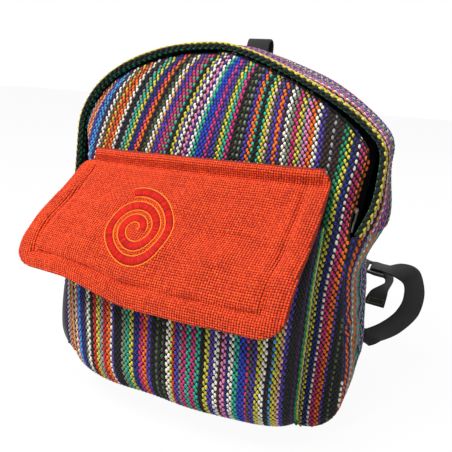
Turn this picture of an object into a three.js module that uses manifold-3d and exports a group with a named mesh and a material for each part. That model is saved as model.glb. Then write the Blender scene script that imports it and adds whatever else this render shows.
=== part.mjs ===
// Striped handwoven backpack with an arch-shaped zip, a front pocket and an embroidered flap.
// Millimetres. +Z is up, the front faces -Y, and the origin is the middle of the flat base.

import * as THREE from 'three';
import Module from 'manifold-3d';
import { mergeVertices } from 'three/addons/utils/BufferGeometryUtils.js';

// Bag body
const bagWidth = 304;
const bagHeight = 340;
const bagDepth = 124;
const halfWidth = bagWidth / 2;
const backY = bagDepth / 2;
const cornerRadius = 36; // bottom corners of the outline
const leftBelly = 8; // the stuffed bag hangs out this much further at its lower left
const waistHalf = 142; // the stuffed bag is widest near its base and drawn in at the zip's lower ends
const waistHeight = 184;
const shoulderHalf = 151;
const archStart = 262; // height at which the sides turn into the arch
const slackArch = [127, 304, 30]; // the right shoulder has slumped more than the left one
const fullArch = [135, 313, 70];
const cloth = 2; // thickness of the striped cloth with its seam allowance
const middleZ = 170; // height of the panels' middle, from which their grid spreads
const seam = 0.5; // gap between two pieces that are sewn together
const rimSteps = 96; // straight pieces round the back panel
const gussetSteps = 56; // and along each gusset and zip tape

// Soft shape of the front
const frontBulge = 13;
const leanStart = 140; // above this height the front begins to lean back
const leanSteady = 180; // and above this one it leans at a steady angle
const topLean = 30;
const leanTop = 346; // height at which it has leaned back as far as that
const leanTwist = 12; // the left shoulder leans back more than the right one
const bulgeHeight = 172;
const bulgeReach = 190;
const sideBelly = 5; // how far the side gusset swells outwards

// Zip and its cover
const zipEnd = 190; // height of both lower ends of the zip
const tapeStart = 0.008; // share of the half outline from there to the tapes' ends
const coverStart = 0.004; // and to the cover's ends
const zipInset = 11; // how far the teeth lie inside the bag's outline
const panelInset = 14; // how far the front panel's edge lies inside it beside the zip
const lowInset = 2.5; // and below it
const tapeThick = 1;
const teethWidth = 2; // one row
const teethThick = 2.6;
const teethGap = 1.4; // room for the slider's neck
const teethDepth = 15; // distance of the chain behind the panel's edge
const backReach = 17; // width of the rear tape, which runs back under the cover
const frontBend = 3.6; // how far the front tape turns in to meet the panel
const backBend = 7.5; // and how far the rear one turns out to meet the cover
const foldEdge = 0.01; // share of the cover's depth that its folded edge keeps back
const coverSteps = [0.4, 0.7]; // where the cover's section may bend, as shares of its depth
const gapeDepth = 0.6; // share of the depth over which it stands off
const hemShare = 0.13; // share of the top gusset's depth that is turned under
const gapeHeight = 226; // the cover stands off round this height on the right
const gapeRise = 95;
const gapeFall = 50;
const gapeOut = 9;
const bulgeOut = 10; // and the strip swells out round this one
const bulgeOutHeight = 206;
const bulgeOutReach = 62;

// Slider and pull
const sliderLength = 11;
const sliderWidth = 8;
const plateThick = 1.2;
const sliderRest = zipEnd + 20; // height of its middle
const cheekHeight = 3.1;
const cheekThick = 0.9;
const pinRadius = 0.8;
const pinHeight = 2.1; // above the outer plate
const pullLength = 19;
const pullThick = 1.3;
const knuckleRadius = 1.8;
const knuckleWidth = 4.4;

// Front pocket
const pocketHalf = 118;
const pocketBottom = 12;
const pocketTop = 200;
const pocketDepth = 56;
const pocketSquare = 3.4; // exponent of the rounded section
const mouthShare = 0.32; // fullness left at the pocket's mouth

// Flap
const flapHalfTop = 123;
const flapHalfBottom = 129;
const flapTopZ = 237;
const flapThick = 3;
const flapCorner = 24;
const flapSideDrop = 6; // the flap's sides lie this far behind its middle
const flapShift = 16; // its lower edge has slid this far to the left
const flapLift = 14; // and is lifted this far at its left corner
const seamLift = 4; // the seam's middle lies this much higher than flapTopZ
const seamTilt = 0.03; // and it rises to the right

// Embroidery
const spiralTurns = 2.32;
const spiralStart = 0.07; // share of a turn by which it starts to the left of its top
const spiralOuter = 31;
const spiralInner = 6;
const bandWidth = 8.6;
const bandThick = 0.8;
const spiralTall = 1.16; // it is this much taller than wide
const spiralAcross = -17; // centre on the flap, across and down its surface
const spiralDown = 0.53; // as a share of the flap's length

// Straps
const webWidth = 25;
const webThick = 1.8;
const webGap = 0.4;
const padWidth = 56;
const padEnd = 36; // the pad's width at its lower end
const padThick = 11;
const patchHalf = 56;
const patchBottom = 276;
const patchTop = 312;
const patchThick = 4;
const tabLength = 22;
const tabThick = 3.4;

// Ladder lock, measured along the strap from its middle bar
const lockWidth = 36;
const lockThick = 3;
const barHalf = 2;
const topBar = -11;
const lowBar = 9;
const slotTaper = 0.3; // the lower slot is this much narrower on each side
const lockGap = 0.7; // between webbing and bars
const padGap = 24; // from the middle bar up to the pad's end

const colours = {
  stripes: 0x5a4a52,
  orange: 0xe8521c,
  red: 0xd8201a,
  black: 0x17171a,
  metal: 0xb9b9b4,
};

const group = new THREE.Group();

function addMesh(name, geometry, colour, roughness, metalness = 0) {
  const material = new THREE.MeshStandardMaterial({ color: colour, roughness, metalness });
  const mesh = new THREE.Mesh(geometry, material);
  mesh.name = name;
  group.add(mesh);
  return mesh;
}

// Closed solids from three.js geometries whose vertices are moved onto a soft shape

function signedVolume(geometry) {
  const position = geometry.getAttribute('position');
  const index = geometry.getIndex();
  const corners = [new THREE.Vector3(), new THREE.Vector3(), new THREE.Vector3()];
  let volume = 0;
  for (let i = 0; i < index.count; i += 3) {
    corners.forEach((corner, k) => corner.fromBufferAttribute(position, index.getX(i + k)));
    volume += corners[0].dot(corners[1].clone().cross(corners[2])) / 6;
  }
  return volume;
}

function reshape(source, place) {
  source.deleteAttribute('normal');
  source.deleteAttribute('uv');
  const geometry = mergeVertices(source, 1e-5);
  const position = geometry.getAttribute('position');
  const point = new THREE.Vector3();
  for (let i = 0; i < position.count; i += 1) {
    point.fromBufferAttribute(position, i);
    const moved = place(point.x, point.y, point.z);
    position.setXYZ(i, moved.x, moved.y, moved.z);
  }
  if (signedVolume(geometry) < 0) {
    const index = geometry.getIndex();
    for (let i = 0; i < index.count; i += 3) {
      const first = index.getX(i);
      index.setX(i, index.getX(i + 1));
      index.setX(i + 1, first);
    }
  }
  geometry.computeVertexNormals();
  return geometry;
}

// A sheet: place(u, v, w) with u and v from -1 to 1, and w 0 on the outside or 1 on the inside
function sheet(columns, rows, place) {
  const box = new THREE.BoxGeometry(2, 2, 1, columns, rows, 1);
  return reshape(box, (x, y, z) => place(x, y, z + 0.5));
}

// A sweep: place(a, b, t) puts the profile's point (a, b) at t, from 0 to 1, along the way
function sweep(profile, steps, place) {
  const shape = new THREE.Shape(profile.map(([a, b]) => new THREE.Vector2(a, b)));
  const solid = new THREE.ExtrudeGeometry(shape, { depth: 1, steps, bevelEnabled: false });
  return reshape(solid, place);
}

function rectangle(a0, a1, b0, b1, pieces = 1) {
  const points = [];
  for (let i = 0; i <= pieces; i += 1) {
    points.push([a0 + ((a1 - a0) * i) / pieces, b0]);
  }
  for (let i = pieces; i >= 0; i -= 1) {
    points.push([a0 + ((a1 - a0) * i) / pieces, b1]);
  }
  return points;
}

function smooth(value) {
  const t = Math.min(1, Math.max(0, value));
  return t * t * (3 - 2 * t);
}

function bump(value, centre, reach) {
  return smooth(1 - Math.abs(value - centre) / reach);
}

// Front surface: the y of the front cloth at (x, z). It leans back by a share: 0 low down, 1 at the top
function leanShare(z) {
  const bend = leanSteady - leanStart;
  const straight = leanTop - (leanStart + leanSteady) / 2;
  if (z < leanStart) {
    return 0;
  }
  if (z < leanSteady) {
    return (z - leanStart) ** 2 / (2 * bend * straight);
  }
  return (z - (leanStart + leanSteady) / 2) / straight;
}

function frontY(x, z) {
  const lean = (topLean - (leanTwist * x) / halfWidth) * leanShare(z);
  const level = 1 - Math.min(1, Math.abs(x / halfWidth)) ** 3.5;
  const upright = 1 - Math.min(1, Math.abs((z - bulgeHeight) / bulgeReach)) ** 4;
  return -bagDepth / 2 + lean - frontBulge * level * upright;
}

// Outline of the bag in the XZ plane, from the middle of the base round by one side to the apex
function halfOutline(belly, waistOut, arch) {
  const path = new THREE.CurvePath();
  const wide = halfWidth + belly;
  const at = (x, z) => new THREE.Vector2(x, z);
  const corner = at(wide - cornerRadius, 0);
  const flank = at(wide, cornerRadius);
  const waist = at(waistHalf + waistOut, waistHeight);
  const shoulder = at(shoulderHalf, archStart);
  const [archX, archZ, crownX] = arch;
  const turn = cornerRadius * 0.45;
  path.add(new THREE.LineCurve(at(0, 0), corner));
  path.add(new THREE.CubicBezierCurve(corner, at(wide - turn, 0), at(wide, turn), flank));
  const lift = cornerRadius + 62;
  path.add(new THREE.CubicBezierCurve(flank, at(wide, lift), at(waist.x - 4, waistHeight - 46), waist));
  path.add(new THREE.LineCurve(waist, shoulder));
  path.add(new THREE.CubicBezierCurve(shoulder, at(archX, archZ), at(crownX, bagHeight), at(0, bagHeight)));
  const lengths = path.getCurveLengths();
  const rise = shoulder.clone().sub(waist).normalize();
  return { path, stops: [0, lengths[2], lengths[3], lengths[4]], rise };
}

const rightHalf = halfOutline(0, 0, slackArch);
const leftHalf = halfOutline(leftBelly, 2, fullArch);
const [, lowLength, , halfLength] = rightHalf.stops;
const zipRise = rightHalf.rise; // direction of the straight side
const zipShare = shareAt(zipEnd);

function shareAt(z) {
  return (lowLength + (z - waistHeight) / zipRise.y) / halfLength;
}

// Both halves count their shares by the right one's lengths, so that the zip's ends lie level
function shareOn(half, share) {
  const length = share * halfLength;
  const { stops } = rightHalf;
  const part = stops.findIndex((stop, i) => i > 0 && (length <= stop || i === 3));
  const inside = (length - stops[part - 1]) / (stops[part] - stops[part - 1]);
  const own = half.stops[part - 1] + (half.stops[part] - half.stops[part - 1]) * inside;
  return Math.min(1, own / half.stops[3]);
}

// A point of the outline: share 0 is the middle of the base, 1 the apex by the right, 2 the base again
function outline(share, inset) {
  const left = share > 1;
  const half = left ? leftHalf : rightHalf;
  const t = shareOn(half, left ? 2 - share : share);
  const point = half.path.getPointAt(t);
  const tangent = half.path.getTangentAt(Math.min(0.9999, Math.max(0.0001, t)));
  const side = left ? -1 : 1;
  const x = (point.x - tangent.y * inset) * side;
  return { x, z: point.y + tangent.x * inset };
}

// How far the panel's edge lies inside the outline: close to it below the zip, further in beside it
function edgeInset(share) {
  const t = share > 1 ? 2 - share : share;
  return lowInset + (panelInset - lowInset) * smooth((t - zipShare + 0.02) / 0.04);
}

// Maps a square onto the area inside the outline, with the square's rim on the outline
function fillOutline(u, v, insetAt) {
  const reach = Math.max(Math.abs(u), Math.abs(v));
  if (reach < 1e-6) {
    return { x: 0, z: middleZ };
  }
  const a = u / reach;
  const b = v / reach;
  let share = 0.25 + (b + 1) / 4; // up the right side
  if (b <= -1 + 1e-9) {
    share = a >= 0 ? a / 4 : 2 + a / 4;
  } else if (b >= 1 - 1e-9) {
    share = 1 - a / 4;
  } else if (a < 0) {
    share = 2 - share;
  }
  const rim = outline(Math.min(2, Math.max(0, share)), insetAt(share));
  return { x: rim.x * reach, z: middleZ + (rim.z - middleZ) * reach };
}

function frontPanel() {
  return sheet(16, 16, (u, v, w) => {
    const { x, z } = fillOutline(u, v, edgeInset);
    return new THREE.Vector3(x, frontY(x, z) + cloth * w, z);
  });
}

function backPanel() {
  const points = [];
  for (let i = 0; i < rimSteps; i += 1) {
    const { x, z } = outline((2 * i) / rimSteps, cloth + seam);
    points.push(new THREE.Vector2(x, z));
  }
  const solid = new THREE.ExtrudeGeometry(new THREE.Shape(points), { depth: cloth, bevelEnabled: false });
  return reshape(solid, (x, y, z) => new THREE.Vector3(x, backY - z, y));
}

// A point of the bag's rim: depth 0 on the front edge and 1 on the back edge, inset into the bag
function rimPoint(share, depth, inset) {
  const edge = outline(share, 0);
  const front = frontY(edge.x, edge.z);
  const y = front + (backY - front) * depth;
  const high = smooth((edge.z - cornerRadius * 0.4) / (2 * cornerRadius));
  const slack = edge.x > 0 ? bulgeOut * bump(edge.z, bulgeOutHeight, bulgeOutReach) : 0;
  const full = sideBelly * high * smooth((bagHeight - edge.z) / 60) + slack;
  const swell = full * Math.sin(Math.PI * depth);
  const { x, z } = outline(share, inset - swell);
  return new THREE.Vector3(x, y, z);
}

// Side and bottom gusset: from the zip's right end down, under the bag and up to its left end
function sideGusset() {
  const share = (t) => (t < 0.5 ? zipShare * (1 - 2 * t) : 2 - zipShare * (2 * t - 1));
  return sweep(rectangle(0, 1, 0, cloth, 4), gussetSteps, (a, b, t) => rimPoint(share(t), a, b));
}

// The cover lies over the zip on the arch, stands off on the right, and is turned under at its edge
function coverOut(share) {
  const edge = outline(share, 0);
  const reach = edge.z > gapeHeight ? gapeRise : gapeFall;
  return edge.x > 0 ? gapeOut * bump(edge.z, gapeHeight, reach) : 0;
}

function topGusset() {
  const from = zipShare + coverStart;
  const share = (t) => from + (2 - 2 * from) * t;
  const outside = [foldEdge, ...coverSteps, 1].map((a) => [a, 0]);
  const inside = [1, ...coverSteps.toReversed(), hemShare].map((a) => [a, cloth]);
  const profile = [...outside, ...inside, [hemShare, 2 * cloth], [foldEdge, 2 * cloth]];
  return sweep(profile, gussetSteps, (a, b, t) => {
    const out = coverOut(share(t)) * (1 - smooth(a / gapeDepth));
    return rimPoint(share(t), a, b - out);
  });
}

// One zip tape with its row of teeth: forward is true for the tape on the front panel
function zipTape(forward) {
  const from = zipShare + tapeStart;
  const share = (t) => from + (2 - 2 * from) * t;
  const half = teethThick / 2;
  const inner = teethGap / 2;
  const low = tapeThick / 2;
  const reach = forward ? teethDepth - cloth - seam : backReach;
  const profile = [[inner, -half], [inner + teethWidth, -half], [inner + teethWidth, -low], [reach, -low]];
  profile.push([reach, low], [inner + teethWidth, low], [inner + teethWidth, half], [inner, half]);
  return sweep(profile, gussetSteps, (a, b, t) => {
    const beyond = Math.max(0, a - inner - teethWidth) / (reach - inner - teethWidth);
    const bend = (forward ? frontBend : -backBend) * smooth(beyond);
    const here = outline(share(t), 0);
    const y = frontY(here.x, here.z) + teethDepth + (forward ? -a : a);
    const { x, z } = outline(share(t), zipInset + bend + b);
    return new THREE.Vector3(x, y, z);
  });
}

// The line between the two rows of teeth
function teethPoint(share) {
  const edge = outline(share, 0);
  const { x, z } = outline(share, zipInset);
  return new THREE.Vector3(x, frontY(edge.x, edge.z) + teethDepth, z);
}

// A metal stop across the ends of both rows, at a lower end of the zip
function zipStop(side) {
  const block = new THREE.BoxGeometry(teethThick + 0.6, 2 * teethWidth + teethGap + 2, 2.4);
  const end = teethPoint(side > 0 ? zipShare : 2 - zipShare);
  return reshape(block, (x, y, z) => new THREE.Vector3(end.x + x, end.y + y, end.z + z));
}

// Joins closed solids that run into each other
const library = await Module();
library.setup();

function toSolid(geometry) {
  const vertProperties = new Float32Array(geometry.getAttribute('position').array);
  const triVerts = new Uint32Array(geometry.getIndex().array);
  return new library.Manifold(new library.Mesh({ numProp: 3, vertProperties, triVerts }));
}

function join(...geometries) {
  const joined = geometries.map(toSolid).reduce((all, next) => all.add(next));
  const mesh = joined.getMesh();
  const geometry = new THREE.BufferGeometry();
  geometry.setAttribute('position', new THREE.BufferAttribute(new Float32Array(mesh.vertProperties), 3));
  geometry.setIndex(new THREE.BufferAttribute(new Uint32Array(mesh.triVerts), 1));
  geometry.computeVertexNormals();
  return geometry;
}

// The slider runs on the straight right side of the zip, which leans back a little.
// Its own frame: a outwards from the bag, b across the teeth, c up along them
const sliderShare = shareAt(sliderRest);
const sliderPlace = teethPoint(sliderShare);
const along = teethPoint(sliderShare + 0.02).sub(sliderPlace).normalize();
const outwards = new THREE.Vector3(zipRise.y, 0, -zipRise.x);
const across = new THREE.Vector3().crossVectors(along, outwards).normalize();
const innerPlate = teethThick / 2 + 0.45;
const outerPlate = innerPlate + plateThick;
const pinOut = outerPlate + pinHeight;

function onZip(a, b, c) {
  const point = sliderPlace.clone().addScaledVector(outwards, a);
  return point.addScaledVector(across, b).addScaledVector(along, c);
}

function slider() {
  const neck = teethGap / 2 - 0.35;
  const wide = sliderWidth / 2;
  const outer = outerPlate;
  const inner = innerPlate;
  const profile = [[-outer, -wide], [-inner, -wide], [-inner, -neck], [inner, -neck], [inner, -wide]];
  profile.push([outer, -wide], [outer, wide], [inner, wide], [inner, neck], [-inner, neck]);
  profile.push([-inner, wide], [-outer, wide]);
  const body = sweep(profile, 1, (a, b, t) => onZip(a, b, sliderLength * (t - 0.5)));
  const cheekMiddle = knuckleWidth / 2 + 0.35 + cheekThick / 2;
  const cheeks = [-1, 1].map((side) => {
    const box = new THREE.BoxGeometry(cheekHeight + 0.4, cheekThick, 3.4);
    const a = outer + (cheekHeight - 0.4) / 2;
    return reshape(box, (x, y, z) => onZip(x + a, y + side * cheekMiddle, z));
  });
  const pin = new THREE.CylinderGeometry(pinRadius, pinRadius, 2 * cheekMiddle, 10);
  return join(body, ...cheeks, reshape(pin, (x, y, z) => onZip(x + pinOut, y, z)));
}

// The pull: a knuckle round the pin, and a tab that hangs down and widens
function pull() {
  const shape = new THREE.Shape();
  const outerSide = knuckleRadius;
  shape.absarc(0, 0, knuckleRadius, 0, Math.PI * 1.35, false);
  shape.lineTo(outerSide - pullThick, -knuckleRadius - 1);
  shape.lineTo(outerSide - pullThick, -pullLength * 0.45);
  shape.lineTo(outerSide - pullThick, -pullLength);
  shape.lineTo(outerSide, -pullLength);
  shape.lineTo(outerSide, -pullLength * 0.45);
  shape.closePath();
  const hole = new THREE.Path();
  hole.absarc(0, 0, pinRadius + 0.25, 0, Math.PI * 2, true);
  shape.holes.push(hole);
  const settings = { depth: 1, steps: 1, bevelEnabled: false, curveSegments: 8 };
  const solid = new THREE.ExtrudeGeometry(shape, settings);
  return reshape(solid, (x, y, z) => {
    const wider = y < -pullLength * 0.4 ? 1.5 : 1;
    return onZip(x + pinOut, (z - 0.5) * knuckleWidth * wider, y);
  });
}

// Pocket: a full pouch, sewn round its sides and bottom on the front panel, open under the flap
function pocketFill(v) {
  const foot = 0.28; // share of the height over which the bottom rounds out
  const round = v < foot ? (1 - (1 - v / foot) ** 2.4) ** (1 / 2.4) : 1;
  return round * (1 - (1 - mouthShare) * smooth((v - 0.6) / 0.4));
}

function pocketPoint(u, v, w) {
  const angle = (Math.PI / 2) * (1 - u);
  const power = 2 / pocketSquare;
  const round = (value) => Math.sign(value) * Math.abs(value) ** power;
  const half = pocketHalf - 3 * (1 - v) - cloth * w;
  const x = half * round(Math.cos(angle));
  const z = pocketBottom + cloth * w * (1 - v) + (pocketTop - pocketBottom) * v;
  const out = (pocketDepth - cloth * w) * pocketFill(v) * round(Math.max(0, Math.sin(angle)));
  return new THREE.Vector3(x, frontY(x, z) - seam - out, z);
}

function pocket() {
  return sheet(18, 11, (u, v, w) => pocketPoint(u, (v + 1) / 2, w));
}

// Flap: its profile at the middle, as distance in front of the front cloth, and height
const flapRoute = [[3, 0], [6, -9], [13, -18], [28, -33], [44, -49], [62, -68], [74, -88], [80, -115]];
const flapSide = new THREE.CatmullRomCurve3(
  flapRoute.map(([out, rise]) => new THREE.Vector3(0, out, flapTopZ + rise)),
);
const flapLength = flapSide.getLength();
const flapBase = frontY(0, flapTopZ);

// A point of the flap: u across it, v from 0 at the seam to 1 at the lower edge, height above its inside
function flapPoint(u, v, height) {
  const point = flapSide.getPointAt(v);
  const tangent = flapSide.getTangentAt(v);
  const left = (1 - v) * flapLength;
  const cut = left < flapCorner ? flapCorner - Math.sqrt(flapCorner ** 2 - (flapCorner - left) ** 2) : 0;
  const sideways = u * (flapHalfTop + (flapHalfBottom - flapHalfTop) * v - cut);
  const side = sideways / flapHalfBottom;
  const hang = flapSideDrop * smooth(v / 0.5) * Math.abs(side) ** 2.4;
  const atTop = frontY(sideways, flapTopZ) - flapBase;
  const x = sideways - flapShift * smooth(v);
  const y = flapBase + atTop * (1 - smooth(v / 0.4)) - point.y + hang;
  const tilt = (seamLift + seamTilt * sideways) * (1 - smooth(v / 0.4));
  const z = point.z + flapLift * v * v * smooth(-side * 1.6) + tilt;
  return new THREE.Vector3(x, y + tangent.z * height, z + tangent.y * height);
}

function flap() {
  return sheet(14, 16, (u, v, w) => flapPoint(u, (v + 1) / 2, flapThick * (1 - w)));
}

// Spiral of satin stitch, a raised band on the flap
function spiral() {
  const profile = rectangle(-bandWidth / 2, bandWidth / 2, 0, bandThick);
  return sweep(profile, 60, (a, b, t) => {
    const turn = Math.PI * 2 * (spiralStart - spiralTurns * t);
    const radius = spiralOuter + (spiralInner - spiralOuter) * t + a;
    const sideways = spiralAcross - radius * Math.sin(turn);
    const down = spiralDown * flapLength - spiralTall * radius * Math.cos(turn);
    return flapPoint(sideways / flapHalfTop, down / flapLength, flapThick + seam + b);
  });
}

// Straps on the back. A route's point is [x, y, z] and the direction across the strap there
function strap(route, profile, steps, widthAt = () => 1) {
  const middle = new THREE.CatmullRomCurve3(
    route.map(([x, y, z]) => new THREE.Vector3(x, y, z)),
    false,
    'centripetal',
  );
  return sweep(profile, steps, (a, b, t) => {
    const point = middle.getPoint(t);
    const tangent = middle.getTangent(t);
    const place = t * (route.length - 1);
    const before = Math.min(route.length - 2, Math.floor(place));
    const from = new THREE.Vector3(...route[before].slice(3));
    const to = new THREE.Vector3(...route[before + 1].slice(3));
    const wide = from.lerp(to, place - before);
    wide.addScaledVector(tangent, -wide.dot(tangent)).normalize();
    const out = new THREE.Vector3().crossVectors(wide, tangent);
    return point.addScaledVector(wide, a * widthAt(t)).addScaledVector(out, b);
  });
}

function roundedBar(width, thick, round) {
  const [w, t] = [width / 2, thick / 2];
  const profile = [[-w, -t + round], [-w + round, -t], [0, -t], [w - round, -t], [w, -t + round]];
  profile.push([w, t - round], [w - round, t], [0, t], [-w + round, t], [-w, t - round]);
  return profile;
}

// A ladder lock's own frame: p along the strap from the middle bar, a across it, q out of its face
function lockFrame(centre, direction, acrossIt) {
  const p = new THREE.Vector3(...direction).normalize();
  const a = new THREE.Vector3(...acrossIt);
  a.addScaledVector(p, -a.dot(p)).normalize();
  const q = new THREE.Vector3().crossVectors(a, p);
  const origin = new THREE.Vector3(...centre);
  const at = (onward, sideways, out) =>
    origin.clone().addScaledVector(p, onward).addScaledVector(a, sideways).addScaledVector(q, out);
  const stop = (onward, out) => [...at(onward, 0, out).toArray(), ...a.toArray()];
  return { at, stop };
}

function ladderLock(frame) {
  const half = lockWidth / 2;
  const slot = webWidth / 2 + 1;
  const corners = (from, to, side) =>
    [[from, -side], [to, -side], [to, side], [from, side]].map(([x, y]) => new THREE.Vector2(x, y));
  const shape = new THREE.Shape(corners(topBar - barHalf, lowBar + barHalf, half));
  shape.holes.push(new THREE.Path(corners(topBar + barHalf, -barHalf, slot).reverse()));
  shape.holes.push(new THREE.Path(corners(barHalf, lowBar - barHalf, slot - slotTaper).reverse()));
  const solid = new THREE.ExtrudeGeometry(shape, { depth: lockThick, steps: 1, bevelEnabled: false });
  return reshape(solid, (x, y, z) => frame.at(x, y, z - lockThick / 2));
}

// The short webbing that comes out of the pad and goes round the lock's top bar
const wrapOut = lockThick / 2 + lockGap + webThick / 2;

function buckleLoop(frame) {
  const turn = topBar + barHalf + lockGap + webThick / 2;
  const route = [
    frame.stop(-padGap + 1, -1.5),
    frame.stop(topBar - 4, -wrapOut),
    frame.stop(topBar, -wrapOut),
    frame.stop(turn - 0.6, -wrapOut * 0.7),
    frame.stop(turn, 0),
    frame.stop(turn - 0.6, wrapOut * 0.7),
    frame.stop(topBar, wrapOut),
    frame.stop(topBar - 4, wrapOut),
    frame.stop(-padGap + 1, 1.5),
  ];
  return strap(route, rectangle(-webWidth / 2, webWidth / 2, -webThick / 2, webThick / 2), 24);
}

// The long webbing: its loose end, round the lock's middle bar, then on to the tab in the corner
function longWebbing(frame, tail, onward) {
  const turn = -barHalf - lockGap - webThick / 2;
  const route = [
    ...tail,
    frame.stop(lowBar + 5, wrapOut + 0.4),
    frame.stop(lowBar - 2, wrapOut),
    frame.stop(0, wrapOut),
    frame.stop(turn + 0.6, wrapOut * 0.7),
    frame.stop(turn, 0),
    frame.stop(turn + 0.6, -wrapOut * 0.7),
    frame.stop(0, -wrapOut),
    frame.stop(lowBar - 2, -wrapOut),
    frame.stop(lowBar + 5, -wrapOut - 0.4),
    ...onward,
  ];
  const profile = rectangle(-webWidth / 2, webWidth / 2, -webThick / 2, webThick / 2);
  return strap(route, profile, 4 * (route.length - 1));
}

function shoulderPad(route) {
  const widthAt = (t) => 1 - (1 - padEnd / padWidth) * smooth((t - 0.45) / 0.5);
  return strap(route, roundedBar(padWidth, padThick, 3), 22, widthAt);
}

// Cloth tab in the seam of a lower corner, with the webbing sewn into its end
const tabX = 137;
const tabZ = 17;
const tabStart = backY + seam;

function cornerTab(side) {
  return sheet(4, 3, (u, v, w) => {
    const t = (v + 1) / 2;
    const half = 15 - 1.5 * t;
    const place = new THREE.Vector3(side * tabX, tabStart + tabLength * t, tabZ);
    const diagonal = new THREE.Vector3(side, 0, 1).normalize();
    const out = new THREE.Vector3(1, 0, -side).normalize();
    return place.addScaledVector(diagonal, half * u).addScaledVector(out, (w - 0.5) * tabThick);
  });
}

// The patch on the back that holds both pads, and the haul loop above it
function anchorPatch() {
  return sheet(8, 4, (u, v, w) => {
    const crown = 1 - 0.35 * Math.max(Math.abs(u) ** 6, Math.abs(v) ** 6);
    const z = (patchTop + patchBottom) / 2 + ((patchTop - patchBottom) / 2) * v;
    return new THREE.Vector3(patchHalf * u, backY + seam + patchThick * (1 - w) * crown, z);
  });
}

function haulLoop() {
  const inner = backY + seam + webThick / 2;
  const outer = inner + webThick + webGap;
  const foot = patchTop + webGap;
  const route = [
    [0, inner, foot, 1, 0, 0],
    [0, inner, foot + 12, 1, 0, 0],
    [0, inner + 2, foot + 26, 1, 0, 0],
    [0, inner + 10, foot + 40, 1, 0, 0],
    [0, inner + 20, foot + 38, 1, 0, 0],
    [0, inner + 20, foot + 24, 1, 0, 0],
    [0, outer + 5, foot + 11, 1, 0, 0],
    [0, outer, foot, 1, 0, 0],
  ];
  return strap(route, rectangle(-webWidth / 2, webWidth / 2, -webThick / 2, webThick / 2), 28);
}

const padTopY = backY + padThick / 2 + 1.4;

// Both shoulder straps. The right one has slipped out sideways, the left one hangs close to the back
const straps = {
  right: {
    lock: lockFrame([151, 84, 119], [1, 0, -0.12], [0, 1, 0]),
    pad: [
      [29, padTopY, patchBottom - 1, 1, 0, 0],
      [29, padTopY + 1, patchBottom - 10, 1, 0, 0],
      [38, 81, 248, 1, 0, 0],
      [60, 95, 220, 0.97, 0.2, 0],
      [87, 98, 184, 0.8, 0.6, 0],
      [110, 92, 150, 0.4, 0.9, 0.1],
    ],
    tail: [
      [156, 83, 76, 0.92, 0.4, 0],
      [160, 84, 92, 0.75, 0.65, 0],
      [168, 84, 107, 0.3, 0.95, 0],
    ],
    onward: [
      [178, 82, 122, 0, 0.9, 0.4],
      [190, 80, 118, 0.3, 0.7, 0.7],
      [196, 78, 101, 0.8, 0.6, 0.15],
      [193, 79, 78, 0.85, 0.4, -0.3],
      [178, 85, 53, 0.6, 0.4, -0.7],
      [160, 95, 34, 0.1, 0.5, -0.85],
      [145, 103, 22, -0.5, 0.2, -0.8],
      [tabX, tabStart + tabLength + 8, tabZ, -1, 0, -1],
      [tabX, tabStart + tabLength + webGap, tabZ, -1, 0, -1],
    ],
  },
  left: {
    lock: lockFrame([-106, 95, 128], [-0.12, 0.05, -1], [1, 0, 0]),
    pad: [
      [-29, padTopY, patchBottom - 1, 1, 0, 0],
      [-29, padTopY + 1, patchBottom - 10, 1, 0, 0],
      [-36, 81, 248, 1, 0, 0],
      [-54, 93, 222, 1, 0, 0],
      [-77, 98, 194, 1, 0, -0.1],
      [-96, 97, 168, 1, 0, -0.1],
    ],
    tail: [
      [-114, 106, 76, 1, 0, 0],
      [-112, 104, 92, 1, 0, 0],
      [-109, 101, 106, 1, 0, 0],
    ],
    onward: [
      [-110, 94, 100, 1, 0, 0],
      [-116, 98, 80, 1, 0, 0],
      [-124, 104, 56, 0.9, 0, 0.2],
      [-132, 104, 32, 0.8, 0, 0.5],
      [-137, 98, 20, 0.9, 0, -0.8],
      [-tabX, tabStart + tabLength + 6, tabZ, 1, 0, -1],
      [-tabX, tabStart + tabLength + webGap, tabZ, 1, 0, -1],
    ],
  },
};

addMesh('front_panel', frontPanel(), colours.stripes, 0.9);
addMesh('back_panel', backPanel(), colours.stripes, 0.9);
addMesh('side_gusset', sideGusset(), colours.stripes, 0.9);
addMesh('top_gusset', topGusset(), colours.stripes, 0.9);
addMesh('zip_tape_front', zipTape(true), colours.black, 0.8);
addMesh('zip_tape_back', zipTape(false), colours.black, 0.8);
addMesh('zip_stop_right', zipStop(1), colours.metal, 0.35, 1);
addMesh('zip_stop_left', zipStop(-1), colours.metal, 0.35, 1);
addMesh('zip_slider', slider(), colours.metal, 0.35, 1);
addMesh('zip_pull', pull(), colours.metal, 0.35, 1);
addMesh('front_pocket', pocket(), colours.stripes, 0.9);
addMesh('pocket_flap', flap(), colours.orange, 0.85);
addMesh('embroidered_spiral', spiral(), colours.red, 0.5);
addMesh('anchor_patch', anchorPatch(), colours.stripes, 0.9);
addMesh('haul_loop', haulLoop(), colours.black, 0.7);
['right', 'left'].forEach((side) => {
  const { lock, pad, tail, onward } = straps[side];
  pad.push(lock.stop(-padGap - 9, 0), lock.stop(-padGap, 0));
  addMesh(`shoulder_pad_${side}`, shoulderPad(pad), colours.stripes, 0.9);
  addMesh(`buckle_loop_${side}`, buckleLoop(lock), colours.black, 0.7);
  addMesh(`ladder_lock_${side}`, ladderLock(lock), colours.black, 0.45);
  addMesh(`long_webbing_${side}`, longWebbing(lock, tail, onward), colours.black, 0.7);
  addMesh(`corner_tab_${side}`, cornerTab(side === 'right' ? 1 : -1), colours.stripes, 0.9);
});

export default group;
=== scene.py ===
import math

import bmesh
import bpy
import numpy as np
from mathutils import Matrix, Vector


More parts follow.
